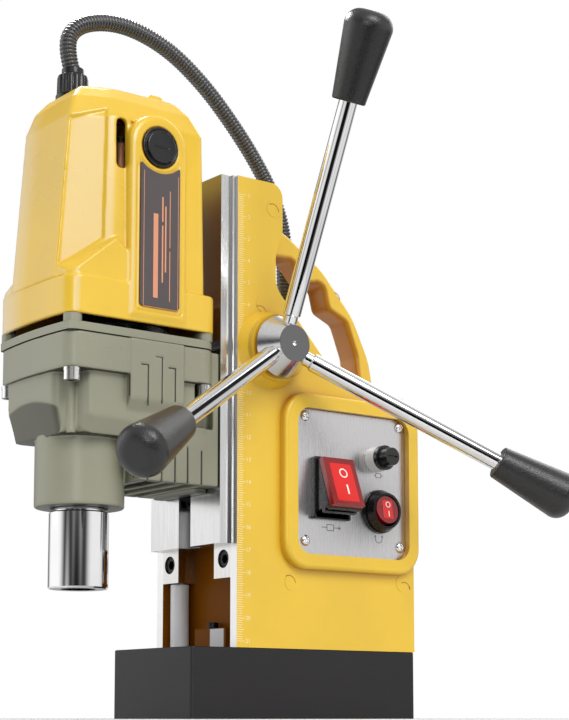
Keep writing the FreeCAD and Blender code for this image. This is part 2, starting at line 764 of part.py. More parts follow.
carriage_seat = slide_front - 7.6
carriage_screws = node("carriage_screws", group([
    socket_screw("y", spot, carriage_seat, 13, SCREW, way=-1) for spot in CARRIAGE_SCREWS]))
node("slide_plate", cut(slide_blank, rack_slot, rack_screws, carriage_screws))
rack = shape_node("rack_blank", rack_teeth(S.feed_module.value, S.feed_height.value,
                                           S.slide_foot.value + 1, slide_top.value - 1,
                                           rack_half, pitch_line.value, rack_back.value))
node("feed_rack", cut(rack, rack_screws))

# ---------------------------------------------------------------- gear train
MOTOR_GEAR = {"teeth": 8, "mate": 26, "module": 1.0}
SPINDLE_GEAR = {"teeth": 10, "mate": 30, "module": 1.2}


def centre_distance(pair):
    return (pair["teeth"] + pair["mate"]) * pair["module"] / 2


between = (S.spindle_ahead - S.motor_ahead).value
motor_arm = centre_distance(MOTOR_GEAR)
spindle_arm = centre_distance(SPINDLE_GEAR)
layshaft_ahead = (motor_arm ** 2 - spindle_arm ** 2 + between ** 2) / (2 * between)
layshaft_x = math.sqrt(motor_arm ** 2 - layshaft_ahead ** 2)
motor_spot = (0, motor_y)
spindle_spot = (0, spindle_y)
layshaft_spot = (layshaft_x, motor_y - layshaft_ahead)
to_layshaft = math.atan2(-layshaft_ahead, layshaft_x)
to_spindle = math.atan2(spindle_y.value - value_of(layshaft_spot[1]), -layshaft_x)


def facing_gap(direction, teeth):
    """The phase that puts a gap, not a tooth, towards the mating gear."""
    return direction + math.pi + math.pi / teeth


def gear(pair, driven, spot, low, high, phase, bore, label):
    teeth = pair["mate"] if driven else pair["teeth"]
    centre = [value_of(length) for length in spot]
    return shape_node(label, gear_blank(teeth, pair["module"], centre, low, high, phase, bore))


ROTOR_GAP = S.running_gap
BALL_BEARING = {"outer": 9.5, "inner": 4}
rotor_shaft = BALL_BEARING["inner"] - ROTOR_GAP
PINION_LOW, PINION_HIGH = 184, 198
motor_pinion = gear(MOTOR_GEAR, False, motor_spot, PINION_LOW, PINION_HIGH, to_layshaft, 1.5,
                    "motor_pinion")
armature_shaft = fuse(motor_pinion,
                      rod("z", motor_spot, PINION_LOW - 2, PINION_HIGH, 2.4),
                      rod("z", motor_spot, PINION_HIGH, 336, rotor_shaft))
node("armature_shaft", armature_shaft)
lay_wheel = gear(MOTOR_GEAR, True, layshaft_spot, 186, 194,
                 facing_gap(to_layshaft, MOTOR_GEAR["mate"]), 3, "lay_wheel")
lay_pinion = gear(SPINDLE_GEAR, False, layshaft_spot, 159, 179, to_spindle, 3, "lay_pinion")
node("layshaft", fuse(lay_wheel, lay_pinion, rod("z", layshaft_spot, 152.5, 203, rotor_shaft)))
spindle_wheel = gear(SPINDLE_GEAR, True, spindle_spot, 161, 176,
                     facing_gap(to_spindle, SPINDLE_GEAR["mate"]), 10, "spindle_wheel")
node("spindle_gear", spindle_wheel)

# ---------------------------------------------------------------- spindle
NECK_RADIUS = 14
SPINDLE_SHAFT = 10
SPINDLE_TAIL = 6
arbor_shoulder = S.nose_foot - 2
bore_roof = S.arbor_foot + S.arbor_bore_depth
arbor_profile = [
    (S.arbor_bore_radius, S.arbor_foot), (S.arbor_radius - 0.8, S.arbor_foot),
    (S.arbor_radius, S.arbor_foot + 0.8), (S.arbor_radius, arbor_shoulder - 0.8),
    (S.arbor_radius - 0.8, arbor_shoulder), (NECK_RADIUS, arbor_shoulder),
    (NECK_RADIUS, 124), (SPINDLE_SHAFT - ROTOR_GAP, 124), (SPINDLE_SHAFT - ROTOR_GAP, 161),
    (SPINDLE_SHAFT, 161), (SPINDLE_SHAFT, 180), (SPINDLE_TAIL - ROTOR_GAP, 180),
    (SPINDLE_TAIL - ROTOR_GAP, 203), (0, 203), (0, bore_roof), (S.arbor_bore_radius, bore_roof)]
arbor_blank = place(turned("arbor_blank", arbor_profile), 0, spindle_y, 0)
GRUB_HEIGHT = 90
grub_in = S.arbor_bore_radius + 0.4
grub_out = S.arbor_radius - 0.6
grubs = [set_screw("y", (0, GRUB_HEIGHT), spindle_y + grub_in, spindle_y + grub_out, 4),
         set_screw("x", (spindle_y, GRUB_HEIGHT), -grub_out, -grub_in, 4, way=-1)]
arbor_screws = node("arbor_screws", group(grubs))
node("spindle_arbor", cut(arbor_blank, arbor_screws))

# ---------------------------------------------------------------- gearcase
CASE_HALF = 36
CASE_FRONT = -157.8
CASE_REAR = -67
FLANGE_HALF = 39.5
FLANGE_FRONT = -160.5
FLANGE_REAR = -64
FLANGE_CORNER = 8
BOW_RADIUS = 270
BOLT_SPOTS = [(x, y) for x in (-34, 34) for y in (FLANGE_FRONT + 7, FLANGE_REAR - 5.5)]
BOLT = 2.75
WASHER = 1.8
washers = [tube("z", spot, S.gearcase_flange - WASHER, S.gearcase_flange, 4.6, BOLT + 0.15)
           for spot in BOLT_SPOTS]
gearcase_bolts = node("gearcase_bolts", group([
    socket_screw("z", spot, S.gearcase_flange - WASHER, 42, BOLT, way=-1)
    for spot in BOLT_SPOTS] + washers))


def bowed(body, front, low, high):
    """A body whose flat front is cut back towards the sides, so that it bulges gently."""
    spare = block((-50, 50), (front - 5, front + 20), (low - 1, high + 1))
    bulge = rod("z", (0, front + BOW_RADIUS), low - 1, high + 1, BOW_RADIUS)
    return cut(body, cut(spare, bulge))


lower_case = prism("z", (-CASE_HALF, CASE_HALF), (CASE_FRONT, CASE_REAR),
                   (S.gearcase_low, S.gearcase_flange), 6, name="lower_case")
soften(lower_case, 5, lies_at("z", S.gearcase_low), "Chamfer")
lower_case = bowed(lower_case, CASE_FRONT, S.gearcase_low, S.gearcase_flange)
flange = bowed(prism("z", (-FLANGE_HALF, FLANGE_HALF), (FLANGE_FRONT, FLANGE_REAR),
                     (S.gearcase_flange, S.gearcase_high), FLANGE_CORNER, name="case_flange"),
               FLANGE_FRONT, S.gearcase_flange, S.gearcase_high)
bracket = fuse(block((-34, 34), (-110, slide_front), (128, S.gearcase_flange)),
               block((-34, 34), (-66, slide_front), (S.gearcase_flange, S.gearcase_high)),
               block((-22, 22), (-64, slide_front), (125.5, 128)),
               block((-28, 28), (-100, slide_front - 3), (128, S.gearcase_low)))
nose = rod("z", spindle_spot, S.nose_foot, S.gearcase_low + 1, S.nose_radius)
gear_room = prism("z", (-31.5, 31.5), (-149, -73), (S.gearcase_low + 4, S.gearcase_high + 1), 12,
                  name="gear_room")
notches = [rod("z", (32, -154), 100, S.gearcase_flange, 8),
           rod("z", (-35.5, -153), 100, S.gearcase_flange, 6.3)]
rear_notches = [block((side * 34 - 7, side * 34 + 7), (-76, -62.5), (160, S.gearcase_flange))
                for side in (-1, 1)]
under_pocket = block((-30, 30), (-104, carriage_seat), (120, 147))
under_ribs = [block((-30, 30), (y - 1.2, y + 1.2), (129, 147)) for y in (-92, -79)]
pocket = cut(under_pocket, *under_ribs)
NOSE_BORE = 17.5
head_counterbores = [rod("y", (x, z), -80 if z > 150 else -70, carriage_seat, 5.2)
                     for x, z in CARRIAGE_SCREWS]
case_body = cut(fuse(cut(fuse(lower_case, bracket), pocket), flange, nose), gear_room,
                rod("z", spindle_spot, 120, S.gearcase_low + 5, NOSE_BORE),
                rod("z", spindle_spot, S.nose_foot - 1, 121, 15.5),
                rod("z", layshaft_spot, S.gearcase_low + 1, S.gearcase_low + 5, 8),
                gearcase_bolts, carriage_screws, *notches, *rear_notches, *head_counterbores)
node("gearcase", case_body)
node("nose_ring", tube("z", spindle_spot, S.nose_foot + 1, 119.5, 15.5, NECK_RADIUS + 0.3))

cover_top = S.gearcase_high + 4.5
cover_plate = bowed(prism("z", (-FLANGE_HALF, FLANGE_HALF), (FLANGE_FRONT, FLANGE_REAR),
                          (S.gearcase_high, cover_top), FLANGE_CORNER, name="cover_plate"),
                    FLANGE_FRONT, S.gearcase_high, cover_top)
posts = [rod("z", spot, cover_top, S.skirt_low, 5) for spot in BOLT_SPOTS]
cover = fuse(cover_plate, rod("z", spindle_spot, 196, S.gearcase_high, 13.5),
             rod("z", layshaft_spot, 196, S.gearcase_high, 10),
             rod("z", motor_spot, cover_top, 212, 13), *posts)
node("gearcase_cover", cut(cover, rod("z", motor_spot, 202, 213, BALL_BEARING["outer"]),
                           rod("z", spindle_spot, 195, 203.6, 11),
                           rod("z", layshaft_spot, 195, 203.6, 8), gearcase_bolts))
node("head_bearings", group([
    tube("z", motor_spot, 204.2, 211.2, BALL_BEARING["outer"], BALL_BEARING["inner"]),
    tube("z", motor_spot, 326, 333, BALL_BEARING["outer"], BALL_BEARING["inner"]),
    tube("z", layshaft_spot, 152.3, 155.4, 8, BALL_BEARING["inner"]),
    tube("z", layshaft_spot, 198.2, 203.4, 8, BALL_BEARING["inner"]),
    tube("z", spindle_spot, 126, 140, NOSE_BORE, SPINDLE_SHAFT),
    tube("z", spindle_spot, 197, 203.4, 11, SPINDLE_TAIL)]))

# ---------------------------------------------------------------- motor
STATOR_RADIUS = 27.5
STATOR = (240, 286)
COIL_RISE = 9
CORE_RADIUS = 18
BRUSH_DEPTH = 12.3
CAP_RADIUS = 11.3
PAD_HALF = 18.9
pad_y = (motor_y - PAD_HALF, motor_y + PAD_HALF)
pad_face = half_width + 1.4


def section(half, front, rear, front_half, corner_y, rear_cut):
    """An eight-sided section of the motor casing."""
    return [(-front_half, front), (front_half, front), (half, front + corner_y),
            (half, rear - rear_cut), (half - rear_cut, rear), (-half + rear_cut, rear),
            (-half, rear - rear_cut), (-half, front + corner_y)]


skirt = bowed(prism("z", (-half_width, half_width), (FLANGE_FRONT - 0.6, FLANGE_REAR + 0.6),
                    (S.skirt_low, S.skirt_high), FLANGE_CORNER, name="skirt"),
              FLANGE_FRONT - 0.6, S.skirt_low, S.skirt_high)
SECTIONS = ((S.skirt_high - 1, (37.5, -158.8, -70.5, 24.7, 29, 3)),
            (S.skirt_high + 6, (37.4, -158.5, -70.5, 24.7, 29, 3)),
            (S.shoulder_height, (36, -152, -71.4, 24.7, 23.4, 3)),
            (S.motor_top - 10, (31, -148, -76.5, 22, 21, 3)),
            (S.motor_top - 3, (25.5, -142.5, -81.5, 18, 19, 3)),
            (S.motor_top, (22, -139.5, -84.5, 15.5, 17, 3)))
casing = new_body("casing")
rings = [outline(new_sketch(casing, "XY_Plane", height), section(*shape))
         for height, shape in SECTIONS]
loft = casing.newObject("PartDesign::AdditiveLoft", "casing_loft")
loft.Profile = rings[0]
loft.Sections = rings[1:]
loft.Ruled = True


def side_pad(side):
    """The flat upright pad that carries a brush cap, with a round top."""
    span = sorted((side * 26, side * pad_face), key=value_of)
    body = fuse(block(tuple(span), pad_y, (S.skirt_low, S.brush_height)),
                rod("x", (motor_y, S.brush_height), span[0], span[1], PAD_HALF))
    return body


fan_room = prism("z", (-36.5, 36.5), (-155.5, -67.5), (S.skirt_low - 1, 231), 14, name="fan_room")
core_bar = new_body("core_bar")
pad(core_bar, outline(new_sketch(core_bar, "XY_Plane", 230), section(31, -147, -76, 14, 20, 17)), 92)
cross = fuse(block((-31, 31), (motor_y - 4, motor_y + 4), (228, 296)),
             block((-4, 4), (-147, -76), (228, 296)))
core_room = fuse(cut(core_bar, cross), rod("z", motor_spot, 228, 300, STATOR_RADIUS))
VENT_Y = (-128.8, -122.2)
vents = [block((low, low + 20), VENT_Y, (298, 324)) for low in (22, -42)]
brush_axis = (motor_y, S.brush_height)
motor_shell = cut(fuse(skirt, casing, side_pad(1), side_pad(-1)), fan_room, core_room,
                  rod("z", motor_spot, 320, 338, BALL_BEARING["outer"]),
                  rod("x", brush_axis, -50, 50, 8), *vents, gearcase_bolts)
node("motor_housing", motor_shell)
node("stator_core", tube("z", motor_spot, STATOR[0], STATOR[1], STATOR_RADIUS, CORE_RADIUS + 1))
coils = [cut(tube("z", motor_spot, low, high, 25, 20),
             block((-30, 30), (motor_y - 5, motor_y + 5), (low - 1, high + 1)))
         for low, high in ((STATOR[0] - COIL_RISE, STATOR[0]), (STATOR[1], STATOR[1] + COIL_RISE))]
node("field_coils", group(coils))
node("armature_core", tube("z", motor_spot, STATOR[0], STATOR[1], CORE_RADIUS, rotor_shaft))
node("commutator", tube("z", motor_spot, 302, 322, 12, rotor_shaft))
FAN_BLADES = 12
fan = [tube("z", motor_spot, 215, 216.5, 28, rotor_shaft),
       tube("z", motor_spot, 216.5, 226, 8, rotor_shaft)]
for blade in range(FAN_BLADES):
    vane = block((7, 28), (-0.8, 0.8), (216.5, 226))
    turn = 360 * blade / FAN_BLADES
    holder = doc.addObject("Part::Compound", f"vane_{blade}")
    holder.Links = [vane]
    holder.Placement.Rotation = FreeCAD.Rotation(V(0, 0, 1), turn)
    fan.append(place(holder, 0, motor_y, 0))
node("cooling_fan", fuse(*fan))
holders, brushes, caps = [], [], []
for side in (-1, 1):
    span = sorted((side * (BRUSH_DEPTH + 4), side * (pad_face - 0.5)), key=value_of)
    brush_span = sorted((side * BRUSH_DEPTH, side * (BRUSH_DEPTH + 17)), key=value_of)
    brush = block(tuple(brush_span), (motor_y - 3, motor_y + 3),
                  (S.brush_height - 5, S.brush_height + 5))
    brushes.append(brush)
    holders.append(cut(rod("x", brush_axis, span[0], span[1], 8), brush))
    rim_span = sorted((side * pad_face, side * (pad_face + 1.6)), key=value_of)
    disc_span = sorted((side * (pad_face + 1.6), side * (pad_face + 3.4)), key=value_of)
    slot = block(tuple(sorted((side * (pad_face + 2.4), side * (pad_face + 4)), key=value_of)),
                 (motor_y - 5, motor_y + 5), (S.brush_height - 0.7, S.brush_height + 0.7))
    caps.append(cut(fuse(rod("x", brush_axis, rim_span[0], rim_span[1], CAP_RADIUS),
                         rod("x", brush_axis, disc_span[0], disc_span[1], 8)), slot))
node("brush_holders", group(holders))
node("carbon_brushes", group(brushes))
node("brush_caps", group(caps))
plate = prism("x", (motor_y - 12.7, motor_y + 12.7), (222, 302), (pad_face, pad_face + 0.8), 1.5,
              name="plate")
node("rating_plate", cut(plate, rod("x", (motor_y, S.brush_height + 3), 30, 60, 18)))
TOP_GLAND = (-12, -129)
node("upper_gland", gland(TOP_GLAND, S.motor_top, "gland_high"))

# ---------------------------------------------------------------- conduit
CONDUIT_ROUTE = [
    (-12, -129, 365), (-12, -129, 382), (-13, -114, 394), (-14, -88, 398.5), (-15, -58, 392.5),
    (-16, -29, 378), (-17, -4, 354), (-18, 15, 326), (-18, 27, 298), (-18, 26, 265),
    (-18, 30, 236), (-18, 30, 209)]


def bent_tube(route, radius):
    """A tube of straight runs joined by arcs as large as the runs allow."""
    spots = [V(*spot) for spot in route]
    edges = []
    start = spots[0]
    for before, corner, after in zip(spots, spots[1:], spots[2:]):
        inward = (corner - before).normalize()
        onward = (after - corner).normalize()
        turn = inward.getAngle(onward)
        shorter = min((corner - before).Length, (after - corner).Length)
        bend = 0.45 * shorter / math.tan(turn / 2)
        reach = bend * math.tan(turn / 2)
        arc_start = corner - inward * reach
        arc_end = corner + onward * reach
        middle_way = (onward - inward).normalize()
        centre_gap = bend / math.cos(turn / 2)
        arc_middle = corner + middle_way * (centre_gap - bend)
        edges.append(Part.makeLine(start, arc_start))
        edges.append(Part.Arc(arc_start, arc_middle, arc_end).toShape())
        print(f"conduit bend radius {bend:.1f} mm")
        start = arc_end
    edges.append(Part.makeLine(start, spots[-1]))
    path = Part.Wire(edges)
    ring = Part.Wire([Part.makeCircle(radius, spots[0], (spots[1] - spots[0]).normalize())])
    solid = path.makePipeShell([ring], True, True)
    print(f"conduit length {path.Length:.1f} mm, volume ratio "
          f"{solid.Volume / (path.Length * math.pi * radius ** 2):.4f}")
    return solid


node("conduit", shape_node("conduit_tube", bent_tube(CONDUIT_ROUTE, S.conduit_radius.value)))

# ---------------------------------------------------------------- checks and files
doc.recompute()
for obj in doc.Objects:
    if "Invalid" in obj.State or "Error" in obj.State:
        raise RuntimeError(f"{obj.Label} failed: {obj.State}")
    if obj.isDerivedFrom("PartDesign::Body") and not obj.Shape.isValid():
        raise RuntimeError(f"{obj.Label} is not a sound solid")
labels = [obj.Label for obj in NODES]
if len(set(labels)) != len(labels):
    raise RuntimeError("two sub-parts share a label")
os.makedirs("parts", exist_ok=True)
for obj in NODES:
    if obj.Shape.isNull() or not obj.Shape.isValid():
        raise RuntimeError(f"{obj.Label} has no valid shape")
    if not obj.Shape.Solids:
        raise RuntimeError(f"{obj.Label} has no solid")
    obj.Shape.exportStep(f"parts/{obj.Label}.step")
print(len(NODES), "sub-parts written")
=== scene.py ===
import json
import math
from functools import reduce

import bmesh
import bpy
import numpy as np
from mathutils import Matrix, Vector

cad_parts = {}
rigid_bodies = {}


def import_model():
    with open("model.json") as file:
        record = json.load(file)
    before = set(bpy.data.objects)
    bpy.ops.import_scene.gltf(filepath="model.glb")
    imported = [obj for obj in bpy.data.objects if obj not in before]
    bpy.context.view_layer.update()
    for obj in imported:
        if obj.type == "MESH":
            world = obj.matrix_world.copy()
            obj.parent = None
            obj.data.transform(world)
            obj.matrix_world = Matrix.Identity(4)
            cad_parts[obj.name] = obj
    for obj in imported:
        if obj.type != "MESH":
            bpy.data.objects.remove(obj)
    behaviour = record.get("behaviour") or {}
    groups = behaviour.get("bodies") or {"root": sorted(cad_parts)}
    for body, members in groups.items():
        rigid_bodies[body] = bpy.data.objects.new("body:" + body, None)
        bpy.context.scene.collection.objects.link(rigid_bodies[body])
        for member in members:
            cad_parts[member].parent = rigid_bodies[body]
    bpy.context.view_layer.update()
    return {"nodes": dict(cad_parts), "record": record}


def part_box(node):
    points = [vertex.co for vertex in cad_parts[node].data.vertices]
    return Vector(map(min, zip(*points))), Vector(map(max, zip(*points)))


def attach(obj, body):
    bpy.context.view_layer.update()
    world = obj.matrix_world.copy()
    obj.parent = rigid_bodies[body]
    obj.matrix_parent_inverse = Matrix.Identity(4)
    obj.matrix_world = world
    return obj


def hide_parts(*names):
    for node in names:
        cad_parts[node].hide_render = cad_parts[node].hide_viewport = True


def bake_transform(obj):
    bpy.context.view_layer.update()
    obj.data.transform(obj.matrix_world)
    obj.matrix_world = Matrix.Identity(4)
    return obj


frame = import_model()
NODES = frame["nodes"]
SLOT_OF = {part["node"]: part["material_slot"] for part in frame["record"]["subparts"]}
MM = 0.001
NET_STEP = 0.7  # grid step of the shells' meshes, in millimetres
MIRRORS = ("chrome", "hub_chrome", "polished_steel", "rail_steel", "zinc_screw", "bearing_steel")
scene = bpy.context.scene
scene.view_settings.view_transform = "Standard"


def span(node):
    """A node's lowest and highest corner, in millimetres."""
    low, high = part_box(node)
    return Vector(low) / MM, Vector(high) / MM


# ---------------------------------------------------------------- camera
CAMERA_SPOT = Vector((0.8190, -0.6102, 0.0012))
CAMERA_AZIMUTH = math.radians(52.72)
CAMERA_PITCH = math.radians(6.98)
LENS = 86.93
LENS_SHIFT = 0.2

camera_data = bpy.data.cameras.new("camera")
camera_data.lens = LENS
camera_data.sensor_width = 36
camera_data.shift_y = LENS_SHIFT
camera_data.clip_start = 0.005
camera = bpy.data.objects.new("camera", camera_data)
scene.collection.objects.link(camera)
scene.camera = camera
camera.location = CAMERA_SPOT
view_direction = Vector((-math.sin(CAMERA_AZIMUTH) * math.cos(CAMERA_PITCH),
                         math.cos(CAMERA_AZIMUTH) * math.cos(CAMERA_PITCH),
                         math.sin(CAMERA_PITCH)))
camera.rotation_euler = view_direction.to_track_quat("-Z", "Y").to_euler()


# ---------------------------------------------------------------- mesh kit
def add_mesh(name, points, faces, body, slot, smooth=True):
    """A piece from points in millimetres, riding on a body, with its slot's material."""
    mesh = bpy.data.meshes.new(name)
    mesh.from_pydata([tuple(p) for p in np.asarray(points, float) * MM], [], faces)
    mesh.validate()
    mesh.update()
    if smooth:
        mesh.shade_smooth()
    piece = bpy.data.objects.new(name, mesh)
    scene.collection.objects.link(piece)
    if body:
        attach(piece, body)
    if slot:
        mesh.materials.append(MATERIALS[slot])
    return piece


def surface_net(field, low, high, step):
    """Points and quads of the surface where a distance field is zero, on a regular grid."""
    counts = [int(math.ceil((b - a) / step)) + 1 for a, b in zip(low, high)]
    lines = [a + step * np.arange(n) for a, n in zip(low, counts)]
    grid = np.meshgrid(*lines, indexing="ij", sparse=True)
    values = np.broadcast_to(field(*grid), counts).astype(np.float32)
    inside = values < 0
    cells = tuple(n - 1 for n in counts)
    total = np.zeros(cells + (3,), np.float32)
    crossings = np.zeros(cells, np.float32)
    corners = [(i, j, k) for i in (0, 1) for j in (0, 1) for k in (0, 1)]
    for corner in corners:
        for axis in range(3):
            if corner[axis]:
                continue
            other = tuple(c + (n == axis) for n, c in enumerate(corner))
            first = tuple(slice(c, c + n) for c, n in zip(corner, cells))
            second = tuple(slice(c, c + n) for c, n in zip(other, cells))
            crossed = inside[first] != inside[second]
            gap = np.where(crossed, values[first] - values[second], 1)
            share = np.where(crossed, values[first] / gap, 0)
            for n in range(3):
                total[..., n] += crossed * (corner[n] + (share if n == axis else 0))
            crossings += crossed
    used = crossings > 0
    index = np.full(cells, -1, np.int64)
    index[used] = np.arange(int(used.sum()))
    where = np.argwhere(used)
    points = (where + total[used] / crossings[used][:, None]) * step + np.array(low)
    quads = []
    for axis in range(3):
        u, v = (axis + 1) % 3, (axis + 2) % 3
        ahead = [slice(1, -1)] * 3
        behind = [slice(1, -1)] * 3
        ahead[axis] = slice(1, None)
        behind[axis] = slice(0, -1)
        now, later = inside[tuple(behind)], inside[tuple(ahead)]
        for leaving in (True, False):
            spots = np.argwhere(now & ~later if leaving else ~now & later)
            spots += [0 if n == axis else 1 for n in range(3)]
            ring = []
            for du, dv in ((-1, -1), (0, -1), (0, 0), (-1, 0)):
                shifted = spots.copy()
                shifted[:, u] += du
                shifted[:, v] += dv
                ring.append(index[tuple(shifted.T)])
            quads.append(np.stack(ring if leaving else ring[::-1], 1))
    return points, np.concatenate(quads).tolist()


def soft_max(a, b, width):
    """The larger of two distances, rounded where they meet."""
    share = np.clip(0.5 + 0.5 * (a - b) / width, 0, 1)
    return b + (a - b) * share + width * share * (1 - share)


def soft_min(a, b, width):
    """The smaller of two distances, rounded where they meet."""
    return -soft_max(-a, -b, width)


def inside_span(p, low, high):
    """Distance to an interval: negative between low and high."""
    return np.maximum(low - p, p - high)


def rounded_box(*shape):
    """Distance to a box or rectangle with round corners, from its coordinates, ends and radius."""
    *axes, low, high, radius = shape
    sides = [inside_span(axis, a + radius, b - radius) for axis, a, b in zip(axes, low, high)]
    beyond = np.sqrt(sum(np.maximum(side, 0) ** 2 for side in sides))
    return beyond + np.minimum(reduce(np.maximum, sides), 0) - radius


def polygon(p, q, corners):
    """Distance to a convex polygon whose corners run clockwise."""
    edges = [((q - q0) * (p1 - p0) - (p - p0) * (q1 - q0)) / math.hypot(p1 - p0, q1 - q0)
             for (p0, q0), (p1, q1) in zip(corners, corners[1:] + corners[:1])]
    return reduce(np.maximum, edges)


def sunk(distance, depth, slope):
    """How far a surface is set back inside an outline, with sloping sides."""
    share = np.clip(-distance / slope, 0, 1)
    return depth * share * share * (3 - 2 * share)


def groove(distance, depth, half_width):
    """How far a surface is set back along a line."""
    share = np.clip(1 - np.abs(distance) / half_width, 0, 1)
    return depth * share * share * (3 - 2 * share)


# ---------------------------------------------------------------- materials
def new_material(name, color, roughness, metallic=0.0, **constants):
    """A Principled material whose constant values stand on the shader's own sockets."""
    material = bpy.data.materials.new(name)
    material.use_nodes = True
    shader = material.node_tree.nodes["Principled BSDF"]
    shader.inputs["Base Color"].default_value = (*color, 1)
    shader.inputs["Roughness"].default_value = roughness
    shader.inputs["Metallic"].default_value = metallic
    for socket, number in constants.items():
        shader.inputs[socket.replace("_", " ")].default_value = number
    return material


def add_node(material, kind, settings=(), **inputs):
    """A node with its settings, and inputs given as numbers or as other sockets."""
    made = material.node_tree.nodes.new(kind)
    for key, setting in dict(settings).items():
        setattr(made, key, setting)
    for key, source in inputs.items():
        socket = made.inputs[int(key[1:])] if key[0] == "i" and key[1:].isdigit() else made.inputs[key]
        if isinstance(source, bpy.types.NodeSocket):
            material.node_tree.links.new(source, socket)
        else:
            socket.default_value = source
    return made


def place_of(material, scale=(1, 1, 1)):
    """Object coordinates, in metres, stretched by a scale along each axis."""
    coordinates = add_node(material, "ShaderNodeTexCoord")
    mapping = add_node(material, "ShaderNodeMapping", Scale=scale)
    material.node_tree.links.new(coordinates.outputs["Object"], mapping.inputs["Vector"])
    return mapping.outputs["Vector"]


def noise(material, scale, detail=3.0, stretch=(1, 1, 1), roughness=0.5):
    """Noise whose features are about 1/scale metres wide."""
    return add_node(material, "ShaderNodeTexNoise", Vector=place_of(material, stretch),
                    Scale=scale, Detail=detail, Roughness=roughness).outputs["Fac"]


def between(material, factor, low, high, start=0.3, stop=0.7):
    """A number that goes from low to high as a factor goes from start to stop."""
    made = add_node(material, "ShaderNodeMapRange", i0=factor, i1=start, i2=stop, i3=low, i4=high)
    return made.outputs[0]


def blend_colors(material, factor, first, second):
    """One colour turning into another, each a tuple or a socket."""
    made = add_node(material, "ShaderNodeMix", {"data_type": "RGBA"}, i0=factor)
    for number, color in ((6, first), (7, second)):
        socket = made.inputs[number]
        if isinstance(color, bpy.types.NodeSocket):
            material.node_tree.links.new(color, socket)
        else:
            socket.default_value = (*color, 1)
    return made.outputs[2]


def combine(material, first, second, operation="MULTIPLY"):
    """Two numbers multiplied, or put together in another way."""
    return add_node(material, "ShaderNodeMath", {"operation": operation},
                    i0=first, i1=second).outputs[0]


def connect(material, **sockets):
    """Link sockets to the material's shader."""
    shader = material.node_tree.nodes["Principled BSDF"]
    for name, source in sockets.items():
        material.node_tree.links.new(source, shader.inputs[name.replace("_", " ")])


def bump(material, height, strength, distance):
    """A bump normal from a height between 0 and 1; distance is in metres."""
    made = add_node(material, "ShaderNodeBump", Height=height, Strength=strength,
                    Distance=distance)
    return made.outputs["Normal"]


def edge_mask(material, radius):
    """1 on edges and corners, 0 on flat stretches."""
    rounded = add_node(material, "ShaderNodeBevel", {"samples": 4}, Radius=radius)
    geometry = add_node(material, "ShaderNodeNewGeometry")
    turn = add_node(material, "ShaderNodeVectorMath", {"operation": "DOT_PRODUCT"},
                    i0=rounded.outputs["Normal"], i1=geometry.outputs["Normal"]).outputs["Value"]
    return between(material, turn, 1.0, 0.0, 0.80, 0.97)


def tinted(color, factor):
    return tuple(min(1.0, channel * factor) for channel in color)


def painted(name, color, roughness, grain=900.0, grain_depth=0.00006, edge_lightening=0.25, coat=0.0,
            crevice_shade=None):
    """Paint or moulded plastic: a fine skin, uneven gloss, edges lightened partly as slight wear and
    partly as a painted highlight, and painted shade in crevices when a shade colour is given.
    """
    material = new_material(name, color, roughness, Coat_Weight=coat, Coat_Roughness=0.12)
    clouds = noise(material, 18.0, 4.0)
    skin = noise(material, grain, 2.0)
    even = blend_colors(material, between(material, clouds, 0.0, 1.0), tinted(color, 0.94),
                        tinted(color, 1.05))
    # Edges lightened: partly slight wear, partly a painted highlight
    edge_wear_and_highlight = combine(material, edge_mask(material, 0.0009), between(material, skin, 0.2, 1.0))
    shade = blend_colors(material, combine(material, edge_wear_and_highlight, edge_lightening), even, tinted(color, 1.5))
    gloss = between(material, clouds, roughness - 0.05, roughness + 0.07)
    # Painted shade: ambient occlusion blends the colour towards the shade colour in crevices and
    # corners
    if crevice_shade:
        open_sky = add_node(material, "ShaderNodeAmbientOcclusion", {"samples": 6},
                            Distance=0.03).outputs["AO"]
        shade = blend_colors(material, between(material, open_sky, 0.0, 1.0, 0.15, 0.75),
                             crevice_shade, shade)
    connect(material, Base_Color=shade, Roughness=gloss,
            Normal=bump(material, skin, 0.35, grain_depth))
    return material


def brushed(name, color, roughness, along="z", line=2600.0, depth=0.00004, contrast=0.12,
            bright_edge=0.0):
    """Bare metal with fine brushed or ground lines along an axis, and, when bright_edge is set, edges
    lightened as wear and as a painted highlight.
    """
    stretch = [1.0, 1.0, 1.0]
    stretch["xyz".index(along)] = 0.012
    material = new_material(name, color, roughness, 1.0)
    lines = noise(material, line, 3.0, stretch, 0.7)
    clouds = noise(material, 25.0, 3.0)
    shade = blend_colors(material, between(material, lines, 0.0, 1.0),
                         tinted(color, 1 - contrast), tinted(color, 1 + contrast))
    smear = blend_colors(material, between(material, clouds, 0.0, 0.35), shade, tinted(color, 0.86))
    # Painted highlight, partly standing for wear: the edges blended towards a pale grey
    if bright_edge:
        edge_wear_and_highlight = combine(material, edge_mask(material, 0.0007), bright_edge)
        smear = blend_colors(material, edge_wear_and_highlight, smear, (0.5, 0.5, 0.5))
    gloss = between(material, lines, roughness * 0.8, roughness * 1.3)
    connect(material, Base_Color=smear, Roughness=gloss,
            Normal=bump(material, lines, 0.3, depth))
    return material


def mirror(name, color, roughness):
    """Plated metal: near-perfect polish with faint swirls and fingerprints."""
    material = new_material(name, color, roughness, 1.0)
    swirls = noise(material, 60.0, 6.0)
    scuffs = noise(material, 1400.0, 2.0, (1, 1, 0.2))
    gloss = between(material, swirls, roughness, roughness * 2.4)
    shade = blend_colors(material, between(material, swirls, 0.0, 1.0), color, tinted(color, 0.93))
    connect(material, Base_Color=shade, Roughness=gloss,
            Normal=bump(material, scuffs, 0.06, 0.00001))
    return material


